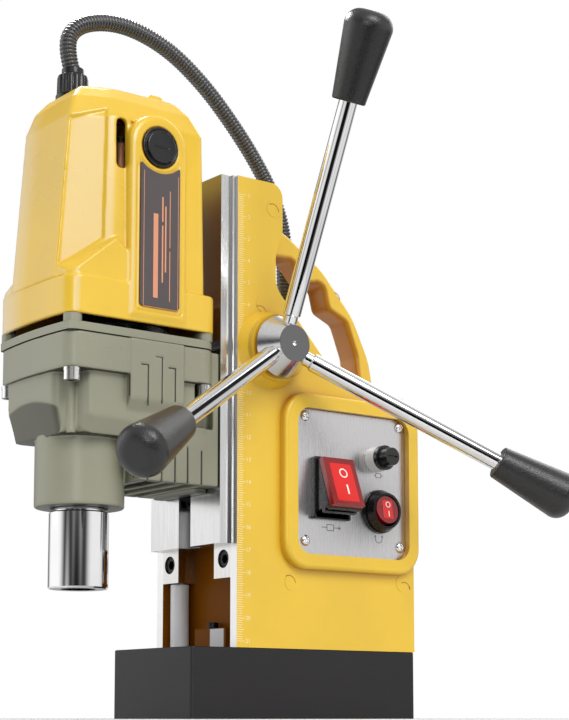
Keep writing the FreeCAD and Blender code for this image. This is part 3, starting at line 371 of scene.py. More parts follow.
def pebbled(name, color, roughness, grain, depth, specular=0.5):
    """Grained rubber or plastic: small round pits and a dull sheen."""
    material = new_material(name, color, roughness, Specular_IOR_Level=specular)
    pits = add_node(material, "ShaderNodeTexVoronoi", {"feature": "SMOOTH_F1"},
                    Vector=place_of(material), Scale=grain).outputs["Distance"]
    clouds = noise(material, 40.0, 3.0)
    shade = blend_colors(material, between(material, clouds, 0.0, 1.0), tinted(color, 0.8),
                         tinted(color, 1.35))
    connect(material, Base_Color=shade, Roughness=between(material, pits, roughness - 0.08,
                                                          roughness + 0.12, 0.0, 0.7),
            Normal=bump(material, pits, 0.5, depth))
    return material


YELLOW = (0.80, 0.515, 0.032)
SHELL_YELLOW = (0.81, 0.52, 0.034)
SHADE_ORANGE = (0.40, 0.13, 0.002)
OLIVE = (0.285, 0.282, 0.205)
MATERIALS = {
    "base_paint": brushed("base_paint", (0.05, 0.048, 0.05), 0.45, "y", 1500.0,
                          bright_edge=0.7),
    "yellow_paint": painted("yellow_paint", YELLOW, 0.36, coat=0.25, crevice_shade=SHADE_ORANGE),
    "yellow_shell": painted("yellow_shell", SHELL_YELLOW, 0.3, 1300.0, 0.00004, 0.15, 0.3,
                            SHADE_ORANGE),
    "olive_paint": painted("olive_paint", OLIVE, 0.4, 1100.0, 0.00005, coat=0.08,
                           crevice_shade=(0.05, 0.055, 0.024)),
    "polished_steel": brushed("polished_steel", (0.62, 0.62, 0.62), 0.2, "z"),
    "rail_steel": brushed("rail_steel", (0.66, 0.65, 0.64), 0.22, "z"),
    "chrome": mirror("chrome", (0.86, 0.86, 0.87), 0.035),
    "hub_chrome": brushed("hub_chrome", (0.74, 0.74, 0.74), 0.17, "x", 1800.0),
    "grip_rubber": pebbled("grip_rubber", (0.010, 0.010, 0.010), 0.3, 1500.0, 0.00022, 0.6),
    "black_screw": brushed("black_screw", (0.03, 0.03, 0.032), 0.35, "y"),
    "zinc_screw": mirror("zinc_screw", (0.72, 0.72, 0.71), 0.14),
    "panel_steel": brushed("panel_steel", (0.62, 0.61, 0.62), 0.27, "z", 3000.0),
    "black_plastic": pebbled("black_plastic", (0.006, 0.006, 0.006), 0.2, 1500.0, 0.00002),
    "rocker_red": painted("rocker_red", (0.23, 0.002, 0.003), 0.16, 700.0, 0.00001, 0.9, 0.3),
    "white_plastic": painted("white_plastic", (0.72, 0.72, 0.70), 0.3, 900.0, 0.00003),
    "fuse_glass": mirror("fuse_glass", (0.75, 0.8, 0.8), 0.05),
    "board_green": painted("board_green", (0.02, 0.12, 0.04), 0.45),
    "bronze": brushed("bronze", (0.55, 0.34, 0.16), 0.3, "x"),
    "gear_steel": brushed("gear_steel", (0.45, 0.44, 0.43), 0.3, "x"),
    "copper": brushed("copper", (0.72, 0.33, 0.18), 0.34, "x"),
    "epoxy": painted("epoxy", (0.03, 0.028, 0.026), 0.3),
    "bearing_steel": mirror("bearing_steel", (0.62, 0.62, 0.63), 0.12),
    "lamination": brushed("lamination", (0.33, 0.33, 0.34), 0.4, "x", 3500.0),
    "carbon": painted("carbon", (0.02, 0.02, 0.02), 0.6),
    "plate_ink": painted("plate_ink", (0.082, 0.066, 0.068), 0.4, 700.0, 0.00002, 0.1),
    "conduit_black": painted("conduit_black", (0.013, 0.013, 0.014), 0.2, 900.0, 0.000004, 0.0,
                             0.5),
    "grey_tube": painted("grey_tube", (0.74, 0.74, 0.75), 0.25),
}


def place_along(material, axis):
    """The position along one axis, in metres."""
    position = add_node(material, "ShaderNodeTexCoord").outputs["Object"]
    return add_node(material, "ShaderNodeSeparateXYZ", i0=position).outputs["XYZ".index(axis)]


def facing(material, direction):
    """1 on faces that look one way, 0 on those square to it."""
    normal = add_node(material, "ShaderNodeNewGeometry").outputs["Normal"]
    return add_node(material, "ShaderNodeVectorMath", {"operation": "DOT_PRODUCT"}, i0=normal,
                    i1=direction).outputs["Value"]


def machine_front(material, edge):
    """Bare ground metal on every face in front of a place on the Y axis, in metres."""
    links = material.node_tree.links
    shader = material.node_tree.nodes["Principled BSDF"]
    bare = between(material, place_along(material, "Y"), 1.0, 0.0, edge - 0.00008,
                   edge + 0.00008)
    lines = noise(material, 2600.0, 2.0, (1, 1, 0.02))
    steel = blend_colors(material, lines, (0.62, 0.61, 0.60), (0.86, 0.85, 0.84))
    painted_color = shader.inputs["Base Color"].links[0].from_socket
    painted_gloss = shader.inputs["Roughness"].links[0].from_socket
    links.new(blend_colors(material, bare, painted_color, steel), shader.inputs["Base Color"])
    links.new(bare, shader.inputs["Metallic"])
    ground = add_node(material, "ShaderNodeMix", {"data_type": "FLOAT"}, i0=bare,
                      i2=painted_gloss, i3=0.3)
    links.new(ground.outputs[0], shader.inputs["Roughness"])


def where_between(material, axis, low, high, blur=0.0001):
    """1 where the position along an axis lies between two limits, in metres."""
    along = place_along(material, axis)
    above = between(material, along, 0.0, 1.0, low - blur, low + blur)
    below = between(material, along, 1.0, 0.0, high - blur, high + blur)
    return combine(material, above, below)


def recolor(material, mask, color):
    """Another base colour where a mask is 1."""
    shader = material.node_tree.nodes["Principled BSDF"]
    before = shader.inputs["Base Color"].links[0].from_socket
    connect(material, Base_Color=blend_colors(material, mask, before, color))


def finish_column(paint):
    """Painted shade inside the column's channel, its bare foot block and its ground front."""
    # Painted shade: the channel's inside is darkened and its coat and gloss turned down
    inside = combine(paint, where_between(paint, "Y", -0.0502, -0.0359),
                     where_between(paint, "X", -0.0341, 0.0341))
    recolor(paint, inside, (0.18, 0.055, 0.001))
    connect(paint, Coat_Weight=between(paint, inside, 0.25, 0.0, 0.0, 1.0),
            Specular_IOR_Level=between(paint, inside, 0.5, 0.04, 0.0, 1.0))
    block_side = combine(paint, where_between(paint, "X", 0.0052, 0.0186),
                         where_between(paint, "Z", 0.001, 0.0507))
    recolor(paint, combine(paint, block_side, where_between(paint, "Y", -0.0500, -0.0433)),
            (0.66, 0.66, 0.67))
    machine_front(paint, -0.0503)


def finish_gearcase(paint):
    """The gearcase's dark seam, and the shade on its front chamfer, underside and foot."""
    recolor(paint, where_between(paint, "Z", 0.2036, 0.2041, 0.00015), (0.04, 0.04, 0.03))
    downward = facing(paint, (0, 0, -1))
    chamfer = combine(paint, between(paint, downward, 0.0, 0.85, 0.15, 0.24),
                      where_between(paint, "Y", -0.170, -0.1517))
    recolor(paint, combine(paint, chamfer, where_between(paint, "Z", 0.1505, 0.172)),
            (0.04, 0.038, 0.02))
    recolor(paint, between(paint, downward, 0.0, 0.95, 0.75, 0.92), (0.02, 0.02, 0.013))
    foot = combine(paint, where_between(paint, "Z", 0.110, 0.1265, 0.0022),
                   where_between(paint, "Y", -0.105, -0.03, 0.003))
    recolor(paint, combine(paint, foot, 0.8), (0.045, 0.047, 0.03))


def finish_conduit(plastic):
    """Painted highlights on the tops of the conduit's ribs and painted shade in their grooves."""
    ridge = add_node(plastic, "ShaderNodeNewGeometry").outputs["Pointiness"]
    # Painted highlight on the ridges, painted shade in the valleys
    recolor(plastic, between(plastic, ridge, 0.0, 1.0, 0.49, 0.57), (0.085, 0.085, 0.09))
    recolor(plastic, between(plastic, ridge, 1.0, 0.0, 0.42, 0.49), (0.002, 0.002, 0.002))


def tint_facing(material, direction, color, strength, start, stop):
    """Another colour on the faces that look one way; here it paints a sheen on the motor and shade on
    the handle.
    """
    recolor(material, between(material, facing(material, direction), 0.0, strength, start, stop),
            color)


def finish_motor(paint):
    """The pale sheen on the motor casing's front and on its right facet."""
    sheen = combine(paint, between(paint, place_along(paint, "X"), 0.9, 0.0, -0.030, -0.006),
                    where_between(paint, "Y", -0.170, -0.1485, 0.003))
    recolor(paint, sheen, (0.84, 0.68, 0.42))
    tint_facing(paint, (0.900, -0.434, 0.034), (0.86, 0.67, 0.34), 0.65, 0.975, 0.997)


finish_column(MATERIALS["yellow_paint"])
finish_gearcase(MATERIALS["olive_paint"])
finish_conduit(MATERIALS["conduit_black"])
finish_motor(MATERIALS["yellow_shell"])
recolor(MATERIALS["hub_chrome"], where_between(MATERIALS["hub_chrome"], "X", 0.06385, 0.07),
        (0.16, 0.16, 0.16))
# A copy of the yellow paint with painted shade on the handle's faces that look down and forwards
MATERIALS["handle_paint"] = MATERIALS["yellow_paint"].copy()
tint_facing(MATERIALS["handle_paint"], (0, -0.75, -0.66), (0.34, 0.11, 0.003), 0.85, 0.05, 0.5)
for name, cad_object in NODES.items():
    slots = cad_object.data.materials
    slots.clear()
    slots.append(MATERIALS["handle_paint" if name == "carry_handle" else SLOT_OF[name]])

# ---------------------------------------------------------------- motor shell
MOTOR_LEVELS = [235, 242, 326, 338, 345, 348]
MOTOR_HALF = [37.5, 37.4, 36, 31, 25.5, 22]
MOTOR_FRONT = [-158.8, -158.5, -152, -148, -142.5, -139.5]
MOTOR_REAR = [-70.5, -70.5, -71.4, -76.5, -81.5, -84.5]
MOTOR_CUT_X = [12.8, 12.7, 11.3, 9, 7.5, 6.5]
MOTOR_CUT_Y = [29, 29, 23.4, 21, 19, 17]
MOTOR_WALL = 3.0
BRUSH_SPOT = (-104, 312)
FACET_ALONG = (0.42, 0.907)
FACET = [(-127.4, 325), (-106.3, 331.5), (-107.7, 257), (-133.2, 238.6)]
SIDE_RECESS = [(-128.4, 326), (-112, 326), (-112, 232), (-119.6, 232), (-119.7, 252),
               (-128.4, 260.5)]
PAD_FACE = 41.4
BOW_HALF = 36.0
FRONT_BOW = 2.4
GLAND_SPOT = (-12, -129)


def bowed(x, y, depth):
    """The Y coordinate pushed back towards the sides, so that a flat front comes out bowed."""
    return y - depth * (x / BOW_HALF) ** 2 * np.clip((-100 - y) / 30, 0, 1)


def from_brush(y, z):
    """Distance to the axis of the brush cap."""
    return np.hypot(y - BRUSH_SPOT[0], z - BRUSH_SPOT[1])


def casing_field(side, y, z):
    """The tapered casing, with a facet and a recess sunk in each side, and its front's Y."""
    half, front, rear, cut_x, cut_y = (
        np.interp(z, MOTOR_LEVELS, row)
        for row in (MOTOR_HALF, MOTOR_FRONT, MOTOR_REAR, MOTOR_CUT_X, MOTOR_CUT_Y))
    walls = soft_max(side - half, inside_span(y, front, rear), 4.0)
    corner = ((side - half + cut_x) * cut_y + (front - y + cut_y) * cut_x
              - cut_x * cut_y) / np.hypot(cut_x, cut_y)
    casing = soft_max(soft_max(walls, corner, 1.8), z - MOTOR_LEVELS[-1], 4)
    along = side * FACET_ALONG[0] + y * FACET_ALONG[1]
    casing = casing + np.where(y < -118, sunk(polygon(along, z, FACET), 1.3, 1.6), 0)
    return casing + np.where(side > 20, sunk(polygon(y, z, SIDE_RECESS), 1.6, 1.5), 0), front


def flare_field(side, y, z, front, outline):
    """The wedge between the casing and the wider skirt."""
    ramp = 0.311 * (side - 24.7) - 0.6 * (y + 158.6) + 0.737 * (z - 240)
    flare = soft_max(outline + 0.7, soft_max(ramp, side - 39.4, 0.8), 1.0)
    flare = soft_max(flare, front - y + 0.6, 0.8)
    ends = np.maximum(0.698 * (y + 129.5) + 0.716 * (z - 258.1),
                      0.992 * (y + 121.8) + 0.124 * (z - 250.6))
    return np.maximum(soft_max(flare, ends, 1.2), 225 - z)


def plate_marks(side, y, z):
    """How far the pad's frame line, plate bed and cap seat are set back."""
    frame_line = rounded_box(y, z, (-118.4, 219), (-89, 330), 2)
    below_cap = np.clip((302 - z) / 3, 0, 1)
    plate_bed = soft_max(rounded_box(y, z, (-117.2, 221.5), (-90.8, 306), 1.5),
                         14.2 - from_brush(y, z - 1), 0.6)
    depth = groove(frame_line, 0.8, 0.9) * below_cap + sunk(plate_bed, 0.5, 0.7)
    return np.where(side > 38, depth + sunk(from_brush(y, z) - 12.2, 1.0, 0.8), 0)


def motor_outside(x, y, z):
    """The casing, skirt and side pads of the motor housing as one solid."""
    side = np.abs(x)
    casing, front = casing_field(side, y, z)
    outline = rounded_box(x, bowed(x, y, FRONT_BOW), (-40, -161.1), (40, -63.4), 8)
    skirt = soft_max(outline, inside_span(z, 200, 234), 1.4)
    shell = soft_min(casing, skirt, 1.6)
    shell = soft_min(shell, flare_field(side, y, z, front, outline), 0.8)
    tab = rounded_box(side, y, z, (10, -99.5, 340), (22.5, -90, 349.4), 1.6)
    shell = soft_min(shell, tab, 1.5)
    pad_outline = np.minimum(from_brush(y, z) - 18.9,
                             rounded_box(y, z, (-122.9, 214.4), (-85.1, 312), 2))
    pad = soft_max(pad_outline, side - PAD_FACE, 4.5)
    shell = soft_min(shell, np.maximum(pad, 20 - side), 1.2)
    return shell + plate_marks(side, y, z)


def motor_field(x, y, z):
    """The housing with its hollow, vent slots and holes for the brush caps and the gland."""
    outside = motor_outside(x, y, z)
    side = np.abs(x)
    hollow = np.maximum(outside + MOTOR_WALL, z - 343)
    slot = soft_max(rounded_box(y, z, (-128.4, 297.8), (-122.2, 325.8), 2.6), 15 - side, 0.5)
    cap_hole = np.maximum(from_brush(y, z) - 9, 20 - side)
    gland_hole = np.maximum(np.hypot(x - GLAND_SPOT[0], y - GLAND_SPOT[1]) - 6, 330 - z)
    solid = soft_max(outside, -hollow, 0.6)
    for opening in (slot, cap_hole, gland_hole):
        solid = soft_max(solid, -opening, 0.8)
    return np.maximum(solid, 213 - z)


motor_points, motor_faces = surface_net(motor_field, (-44.1, -164.1, 210.1), (44.2, -60, 352),
                                        NET_STEP)
motor_shell = add_mesh("motor_shell", motor_points, motor_faces, "carriage", "yellow_shell")
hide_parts("motor_housing")

# ---------------------------------------------------------------- gearcase
SPINDLE_Y = -127.9
NOSE_RADIUS = 24.65
CASE_LOW = 151.0
FLANGE_TOP = 203.7
FLUTE_SPOT = (30.5, -153.0)
NOTCH_SPOT = (-35.5, -153.0)
L_LINES = [((-114.4, 189.8), (-109.7, 190), (-109.7, 167.5)),
           ((-105.2, 195), (-100.8, 195), (-100.8, 169.7)),
           ((-96.7, 189.8), (-92.2, 189.9), (-92.2, 171.5))]
BRACKET_LINES = [(-114, 141), (-105.2, 142), (-96.2, 145), (-87.6, 148.6), (-79.3, 148.7),
                 (-70.1, 147.3)]


def chain(*spots):
    """Straight lines from each point to the next."""
    return list(zip(spots, spots[1:]))


CASE_LINES = [line for bend in L_LINES for line in chain(*bend)]


def stroke(p, q, start, end):
    """Distance to a straight line between two points."""
    run = (end[0] - start[0], end[1] - start[1])
    share = ((p - start[0]) * run[0] + (q - start[1]) * run[1]) / (run[0] ** 2 + run[1] ** 2)
    share = np.clip(share, 0, 1)
    return np.hypot(p - start[0] - share * run[0], q - start[1] - share * run[1])


def nearest_stroke(y, z, strokes):
    """Distance to the nearest of several straight lines."""
    return reduce(np.minimum, [stroke(y, z, *ends) for ends in strokes])


def lower_case(x, y, z):
    """The case below the flange: sloping front and sides, a flute, a notch and a rib."""
    side = np.abs(x)
    lower = soft_max(
        soft_max(rounded_box(x, bowed(x + 6, y, FRONT_BOW), (-36, -157.8), (36, -67), 4),
                 inside_span(z, CASE_LOW, 190), 0.8), side - 36, 0.5)
    front_slope = (-y - 157.5) * 0.963 + (170 - z) * 0.271
    side_slope = (side - 36) * 0.848 + (160 - z) * 0.53
    lower = soft_max(soft_max(lower, front_slope, 0.6), side_slope, 0.8)
    flute = np.hypot(x - FLUTE_SPOT[0], y - FLUTE_SPOT[1]) - 8.4
    lower = soft_max(lower, -flute, 7.0)
    notch = np.hypot(x - NOTCH_SPOT[0], y - NOTCH_SPOT[1]) - 6.3
    lower = soft_max(lower, -notch, 1.5)
    rib = np.maximum(np.hypot(x - 23.9, y + 147.6) - 2.4, inside_span(z, CASE_LOW, 185))
    return soft_min(lower, rib, 1.2)


def gearcase_outside(x, y, z):
    """The case, flange, nose, bracket, foot and side panels, with their cast lines."""
    side = np.abs(x)
    nose = soft_max(np.hypot(x, y - SPINDLE_Y) - NOSE_RADIUS, inside_span(z, 114, 152), 1.4)
    bracket = rounded_box(x, y, z, (-34, -110, 128), (34, -58.5, 186), 1.2)
    rear_block = rounded_box(x, y, z, (-34, -70, 180), (34, -58.5, FLANGE_TOP), 1.0)
    body = soft_min(soft_min(lower_case(x, y, z), nose, 0.5),
                    np.minimum(bracket, rear_block), 1.5)
    flange = soft_max(rounded_box(x, bowed(x, y, FRONT_BOW), (-39.5, -160.5), (39.5, -64), 8),
                      inside_span(z, 184, FLANGE_TOP), 0.8)
    body = soft_min(body, flange, 0.8)
    foot = rounded_box(x, y, z, (-22, -66, 125.5), (22, -58.5, 131), 1.0)
    body = soft_min(body, foot, 0.8)
    panel = soft_max(rounded_box(side, y, z, (30, -120.8, 163), (40.8, -86.3, FLANGE_TOP), 0.8),
                     (side - 40.8) * 0.8 + (171 - z) * 0.6, 1.2)
    body = soft_min(body, panel, 0.7)
    body = body + np.where(side > 39.5, groove(nearest_stroke(y, z, CASE_LINES), 0.8, 0.75), 0)
    ribs = nearest_stroke(y, z, [((along, 120), (along, top)) for along, top in BRACKET_LINES])
    return body + np.where((side > 31) & (z < 150), groove(ribs, 1.0, 0.8), 0)


def gearcase_field(x, y, z):
    """The gearcase with its rear flutes, gear room, spindle bore and ribbed pocket."""
    far_flute = np.maximum(rounded_box(np.abs(x), y, (27, -76), (46, -62.5), 3),
                           inside_span(z, 160, 184))
    body = soft_max(gearcase_outside(x, y, z), -far_flute, 1.0)
    room = np.maximum(body + 3.5, inside_span(z, 156, 210))
    from_spindle = np.hypot(x, y - SPINDLE_Y)
    bore = np.maximum(from_spindle - 15.5, inside_span(z, 100, 158))
    pocket = rounded_box(x, y, z, (-30, -104, 120), (30, -68, 146), 1.5)
    for along in (-92, -79):
        pocket = np.maximum(pocket, 1.2 - np.abs(y - along))
    body = soft_max(body, -np.maximum(pocket, NOSE_RADIUS - from_spindle), 0.6)
    return np.maximum(np.maximum(body, -room), -bore)


case_points, case_faces = surface_net(gearcase_field, (-43.1, -163.1, 112), (43.2, -56.5, 206),
                                      NET_STEP)
case_shell = add_mesh("gearcase_shell", case_points, case_faces, "carriage", "olive_paint")
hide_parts("gearcase")

# ---------------------------------------------------------------- marks and plates
def boxes_along(lines, width, low, high):
    """Thin bars along lines in the (y, z) plane, from one x to another."""
    points, faces = [], []
    for (y0, z0), (y1, z1) in lines:
        length = math.hypot(y1 - y0, z1 - z0)
        side = ((z0 - z1) / length * width / 2, (y1 - y0) / length * width / 2)
        first = len(points)
        for x in (low, high):
            points += [(x, y0 + side[0], z0 + side[1]), (x, y1 + side[0], z1 + side[1]),
                       (x, y1 - side[0], z1 - side[1]), (x, y0 - side[0], z0 - side[1])]
        faces += [tuple(first + n for n in face) for face in
                  ((0, 1, 2, 3), (7, 6, 5, 4), (0, 4, 5, 1), (1, 5, 6, 2), (2, 6, 7, 3),
                   (3, 7, 4, 0))]
    return points, faces


def joined(*meshes):
    """Several meshes as one."""
    points, faces = [], []
    for more_points, more_faces in meshes:
        faces += [tuple(n + len(points) for n in face) for face in more_faces]
        points += [tuple(point) for point in more_points]
    return points, faces


def arc(centre, radius, start, stop, steps=16):
    """Short lines that follow part of a circle, in degrees."""
    spots = [(centre[0] + radius * math.cos(math.radians(turn)),
              centre[1] + radius * math.sin(math.radians(turn)))
             for turn in np.linspace(start, stop, steps + 1)]
    return chain(*spots)


def lettering(text, size, depth):
    """A word as a thin solid that reads along Y, upright along Z, centred on the origin."""
    curve = bpy.data.curves.new("lettering", "FONT")
    curve.body = text
    curve.size = size
    curve.extrude = depth / 2
    curve.align_x = "CENTER"
    curve.align_y = "CENTER"
    curve.resolution_u = 3
    holder = bpy.data.objects.new("lettering", curve)
    mesh = bpy.data.meshes.new_from_object(holder)
    points = [(v.co.z, v.co.x, v.co.y) for v in mesh.vertices]
    faces = [tuple(face.vertices) for face in mesh.polygons]
    bpy.data.objects.remove(holder)
    bpy.data.meshes.remove(mesh)
    return points, faces


def moved(mesh, x, y, z):
    """A mesh shifted along the axes."""
    points, faces = mesh
    return [(p[0] + x, p[1] + y, p[2] + z) for p in points], faces


def marked(name, mesh, body, material):
    """A thin mark with a material of its own."""
    piece = add_mesh(name, *mesh, body, None, smooth=False)
    shape = bmesh.new()
    shape.from_mesh(piece.data)
    bmesh.ops.recalc_face_normals(shape, faces=shape.faces)
    shape.to_mesh(piece.data)
    shape.free()
    piece.data.materials.append(material)


INK = 0.05  # how far a mark stands out of its surface
INK_ROOT = 0.1  # how far it reaches into it


def inked(lines, width, face, proud=INK):
    """Thin bars printed on a face that looks along X."""
    return boxes_along(lines, width, face - INK_ROOT, face + proud)


COLUMN_FACE = 40.0
SCALE_TOP = 296.3
SCALE_STEP = 12.68
SCALE_EDGE = -50.1
SCALE_COUNT = 21
tick_lines = []
for number in range(10 * (SCALE_COUNT - 1) + 1):
    height = SCALE_TOP - number * SCALE_STEP / 10
    reach = 5.4 if number % 10 == 0 else 4.6 if number % 5 == 0 else 3.6
    tick_lines.append(((SCALE_EDGE, height), (SCALE_EDGE + reach, height)))
scale_numbers = [moved(lettering(str(number + 1), 3.4, 0.1), COLUMN_FACE + 0.03, -42.6,
                       SCALE_TOP - number * SCALE_STEP) for number in range(SCALE_COUNT)]
ink_pale = painted("scale_ink", (0.93, 0.80, 0.42), 0.4)
marked("scale_ticks", inked(tick_lines, 0.32, COLUMN_FACE, 0.06), "stand",
       ink_pale)
marked("scale_numbers", joined(*scale_numbers), "stand", ink_pale)

PLUG_PROUD = 0.2  # the column's plugs stand out of its side by this much
# Painted shadow: dark arcs beside the round plugs on the column's side, and one on the handle
SHADOW_ARC_CIRCLES = [((-26, 290), 4.6), ((-34.8, 228.8), 4.6), ((-14, 76.2), 4.4),
                 ((72.3, 76.2), 4.4)]
shadow_arc_lines = [line for centre, radius in SHADOW_ARC_CIRCLES for line in arc(centre, radius, 5, 120)]
HANDLE_FACE = span("carry_handle")[1].x
marked("painted_shadow_arcs",
       joined(inked(shadow_arc_lines, 0.45, COLUMN_FACE, PLUG_PROUD + 0.06),
              inked(arc((44.6, 254.8), 4.4, 5, 85), 0.45, HANDLE_FACE)),
       "stand", painted("mark_shadow", (0.33, 0.14, 0.01), 0.5))

# Painted shade: dark strips laid in the cast grooves and along the raised panel's edges
bracket_lines = [((along, 128.6), (along, top)) for along, top in BRACKET_LINES]
panel_edge = chain((-120.9, 203.4), (-120.9, 172)) + chain((-86.2, 203.4), (-86.2, 172))
marked("gearcase_lines", joined(boxes_along(CASE_LINES, 0.5, 40.0, 40.5),
                                boxes_along(bracket_lines, 0.5, 33.0, 33.7),
                                boxes_along(panel_edge, 0.4, 39.0, 39.62)),
       "carriage", painted("groove_shade", (0.035, 0.035, 0.028), 0.6))

PANEL_FACE = 42.0
fuse_sign = (chain((47.5, 142.8), (49, 142.8)) + chain((53, 142.8), (54.5, 142.8))
             + chain((49, 141.6), (53, 141.6), (53, 144), (49, 144), (49, 141.6)))
drill_sign = (chain((8, 109.5), (12, 109.5))
              + chain((12, 107.8), (17, 107.8), (17, 111.2), (12, 111.2), (12, 107.8))
              + chain((17, 109.5), (22, 109.5), (20.5, 110.5)) + chain((22, 109.5), (20.5, 108.5)))
magnet_sign = (arc((51, 105.4), 2.6, 180, 360) + chain((48.4, 105.4), (48.4, 107.4))
               + chain((53.6, 105.4), (53.6, 107.4)) + chain((47.6, 106.6), (49.2, 106.6))
               + chain((52.8, 106.6), (54.4, 106.6)))
pictograms = fuse_sign + drill_sign + magnet_sign
ink_dark = painted("panel_ink", (0.03, 0.03, 0.03), 0.45)
marked("panel_pictograms", inked(pictograms, 0.34, PANEL_FACE), "stand",
       ink_dark)

PLATE_FACE = span("rating_plate")[1].x
plate_border = chain((-107, 221.6), (-114.7, 221.6), (-114.7, 297.2)) + chain(
    (-107, 221.6), (-92.4, 221.6), (-92.4, 297.2))
PLATE_BARS = [(0.3, plate_border), (3.0, [((-107.0, 227), (-107.0, 274))]),
              (0.9, [((-102.6, 236), (-102.6, 268)), ((-102.6, 270), (-102.6, 284)),
                     ((-100.6, 242), (-100.6, 279))]),
              (0.45, [((-97.8, 226), (-97.8, 254)), ((-97.8, 256), (-97.8, 288))])]
salmon = painted("plate_print", (0.72, 0.30, 0.17), 0.45)
marked("plate_print", joined(*[inked(bars, width, PLATE_FACE) for width, bars in PLATE_BARS]),
       "carriage", salmon)


# ---------------------------------------------------------------- switch faces
def on_face(mesh, node, tilt, centre):
    """Lay a flat mesh on a tilted switch face: x is height over the face, y across, z up."""
    lean = math.radians(tilt)
    outward = np.array((math.cos(lean), 0, -math.sin(lean)))
    upward = np.array((math.sin(lean), 0, math.cos(lean)))
    corners = np.array([v.co for v in NODES[node].data.vertices]) / MM
    height = float((corners @ outward).max())
    pivot = np.array(centre, float)
    origin = pivot + outward * (height - float(pivot @ outward))
    points, faces = mesh
    laid = [origin + p[0] * outward + (0, p[1], 0) + p[2] * upward for p in points]
    return laid, faces


def ring_faces(rings, sides):
    """Quads that join rings of points, each ring to the next."""
    return [(a * sides + b, a * sides + (b + 1) % sides, (a + 1) * sides + (b + 1) % sides,
             (a + 1) * sides + b) for a in range(rings - 1) for b in range(sides)]


def rounded_plate(y_span, z_span, radius, low, high, bevel=0.25):
    """A flat plate with round corners and a bevelled face."""
    outline = []
    for y, z, start in ((y_span[1] - radius, z_span[1] - radius, 0),
                        (y_span[0] + radius, z_span[1] - radius, 90),
                        (y_span[0] + radius, z_span[0] + radius, 180),
                        (y_span[1] - radius, z_span[0] + radius, 270)):
        for turn in np.radians(np.linspace(start, start + 90, 7)):
            outline.append((y + radius * math.cos(turn), z + radius * math.sin(turn)))
    count = len(outline)
    middle = (sum(y_span) / 2, sum(z_span) / 2)
    rings = []
    for x, shrink in ((low, 0), (high - bevel, 0), (high, bevel)):
        rings.append([(x, y - math.copysign(shrink, y - middle[0]),
                       z - math.copysign(shrink, z - middle[1])) for y, z in outline])
    points = [point for ring in rings for point in ring]
    faces = [tuple(range(count))[::-1], tuple(2 * count + n for n in range(count))]
    return points, faces + ring_faces(len(rings), count)


ROCKER_CENTRE = (46, 13.8, 131.4)
ROCKER_TILT = -20.7
DISC_CENTRE = (45.5, 51.4, 121.2)
DISC_TILT = -9.0
lamp_red = painted("lamp_red", (0.72, 0.008, 0.006), 0.2, 500.0, 0.00001, 0.3, 0.2)
mark_white = painted("mark_white", (0.92, 0.88, 0.82), 0.35)
marked("rocker_lens", on_face(rounded_plate((-7.6, 8.2), (-12.7, 11.4), 0.8, -0.2, 0.35),
                              "drill_rocker", ROCKER_TILT, ROCKER_CENTRE),
       "drill_switch", lamp_red)
rocker_marks = joined(boxes_along(arc((0.9, 5.2), 2.6, 0, 360, 28), 0.75, 0.3, 0.42),
                      boxes_along([((1.4, -2.2), (1.4, -8.2))], 1.1, 0.3, 0.42))
marked("rocker_marks", on_face(rocker_marks, "drill_rocker", ROCKER_TILT, ROCKER_CENTRE),
       "drill_switch", mark_white)
marked("disc_lens", on_face(rounded_plate((-3.6, 3.8), (-5.6, 5.8), 0.8, -0.2, 0.25),
                            "magnet_rocker", DISC_TILT, DISC_CENTRE),
       "magnet_switch", lamp_red)
disc_marks = joined(boxes_along(arc((0.4, 3.0), 1.55, 0, 360, 24), 0.5, 0.2, 0.32),
                    boxes_along([((0.5, -0.9), (0.5, -4.2))], 0.7, 0.2, 0.32))
marked("disc_marks", on_face(disc_marks, "magnet_rocker", DISC_TILT, DISC_CENTRE),
       "magnet_switch", mark_white)


# ---------------------------------------------------------------- turned and fluted pieces
def turned_piece(profile, flutes, depth, sides, fluted):
    """A body of revolution about Z from (radius, height) points, with flutes between heights."""
    turn = 2 * np.pi * np.arange(sides) / sides
    points = []
    for radius, height in profile:
        cut_in = depth if fluted[0] < height < fluted[1] else 0
        reach = radius - cut_in * (0.5 + 0.5 * np.cos(flutes * turn)) ** 2
        points += [(r * math.cos(t), r * math.sin(t), height) for r, t in zip(reach, turn)]
    return points, ring_faces(len(profile), sides)


def screw_field(x, y, z):
    """A domed head with a cross recess; its seat is at x = 0."""
    dome = np.sqrt((x + 1.6) ** 2 + y ** 2 + z ** 2) - 3.75
    head = soft_max(soft_max(dome, np.hypot(y, z) - 3.4, 0.3), -x, 0.1)
    long_y = rounded_box(x, y, z, (0.9, -2.0, -0.42), (4, 2.0, 0.42), 0.15)
    long_z = rounded_box(x, y, z, (0.9, -0.42, -2.0), (4, 0.42, 2.0), 0.15)
    return soft_max(head, -np.minimum(long_y, long_z), 0.15)


screw_low, screw_high = span("panel_screws")
screw_mesh = surface_net(screw_field, (-0.4, -3.8, -3.8), (2.8, 3.8, 3.8), 0.2)
SCREW_INSET = 3.4
screw_spots = [(y, z) for y in (screw_low.y + SCREW_INSET, screw_high.y - SCREW_INSET)
               for z in (screw_low.z + SCREW_INSET, screw_high.z - SCREW_INSET)]
panel_screws = add_mesh("panel_screws_crossed",
                        *joined(*[moved(screw_mesh, PANEL_FACE, y, z) for y, z in screw_spots]),
                        "stand", "chrome")
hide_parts("panel_screws")

CAP_FACE = 43.4


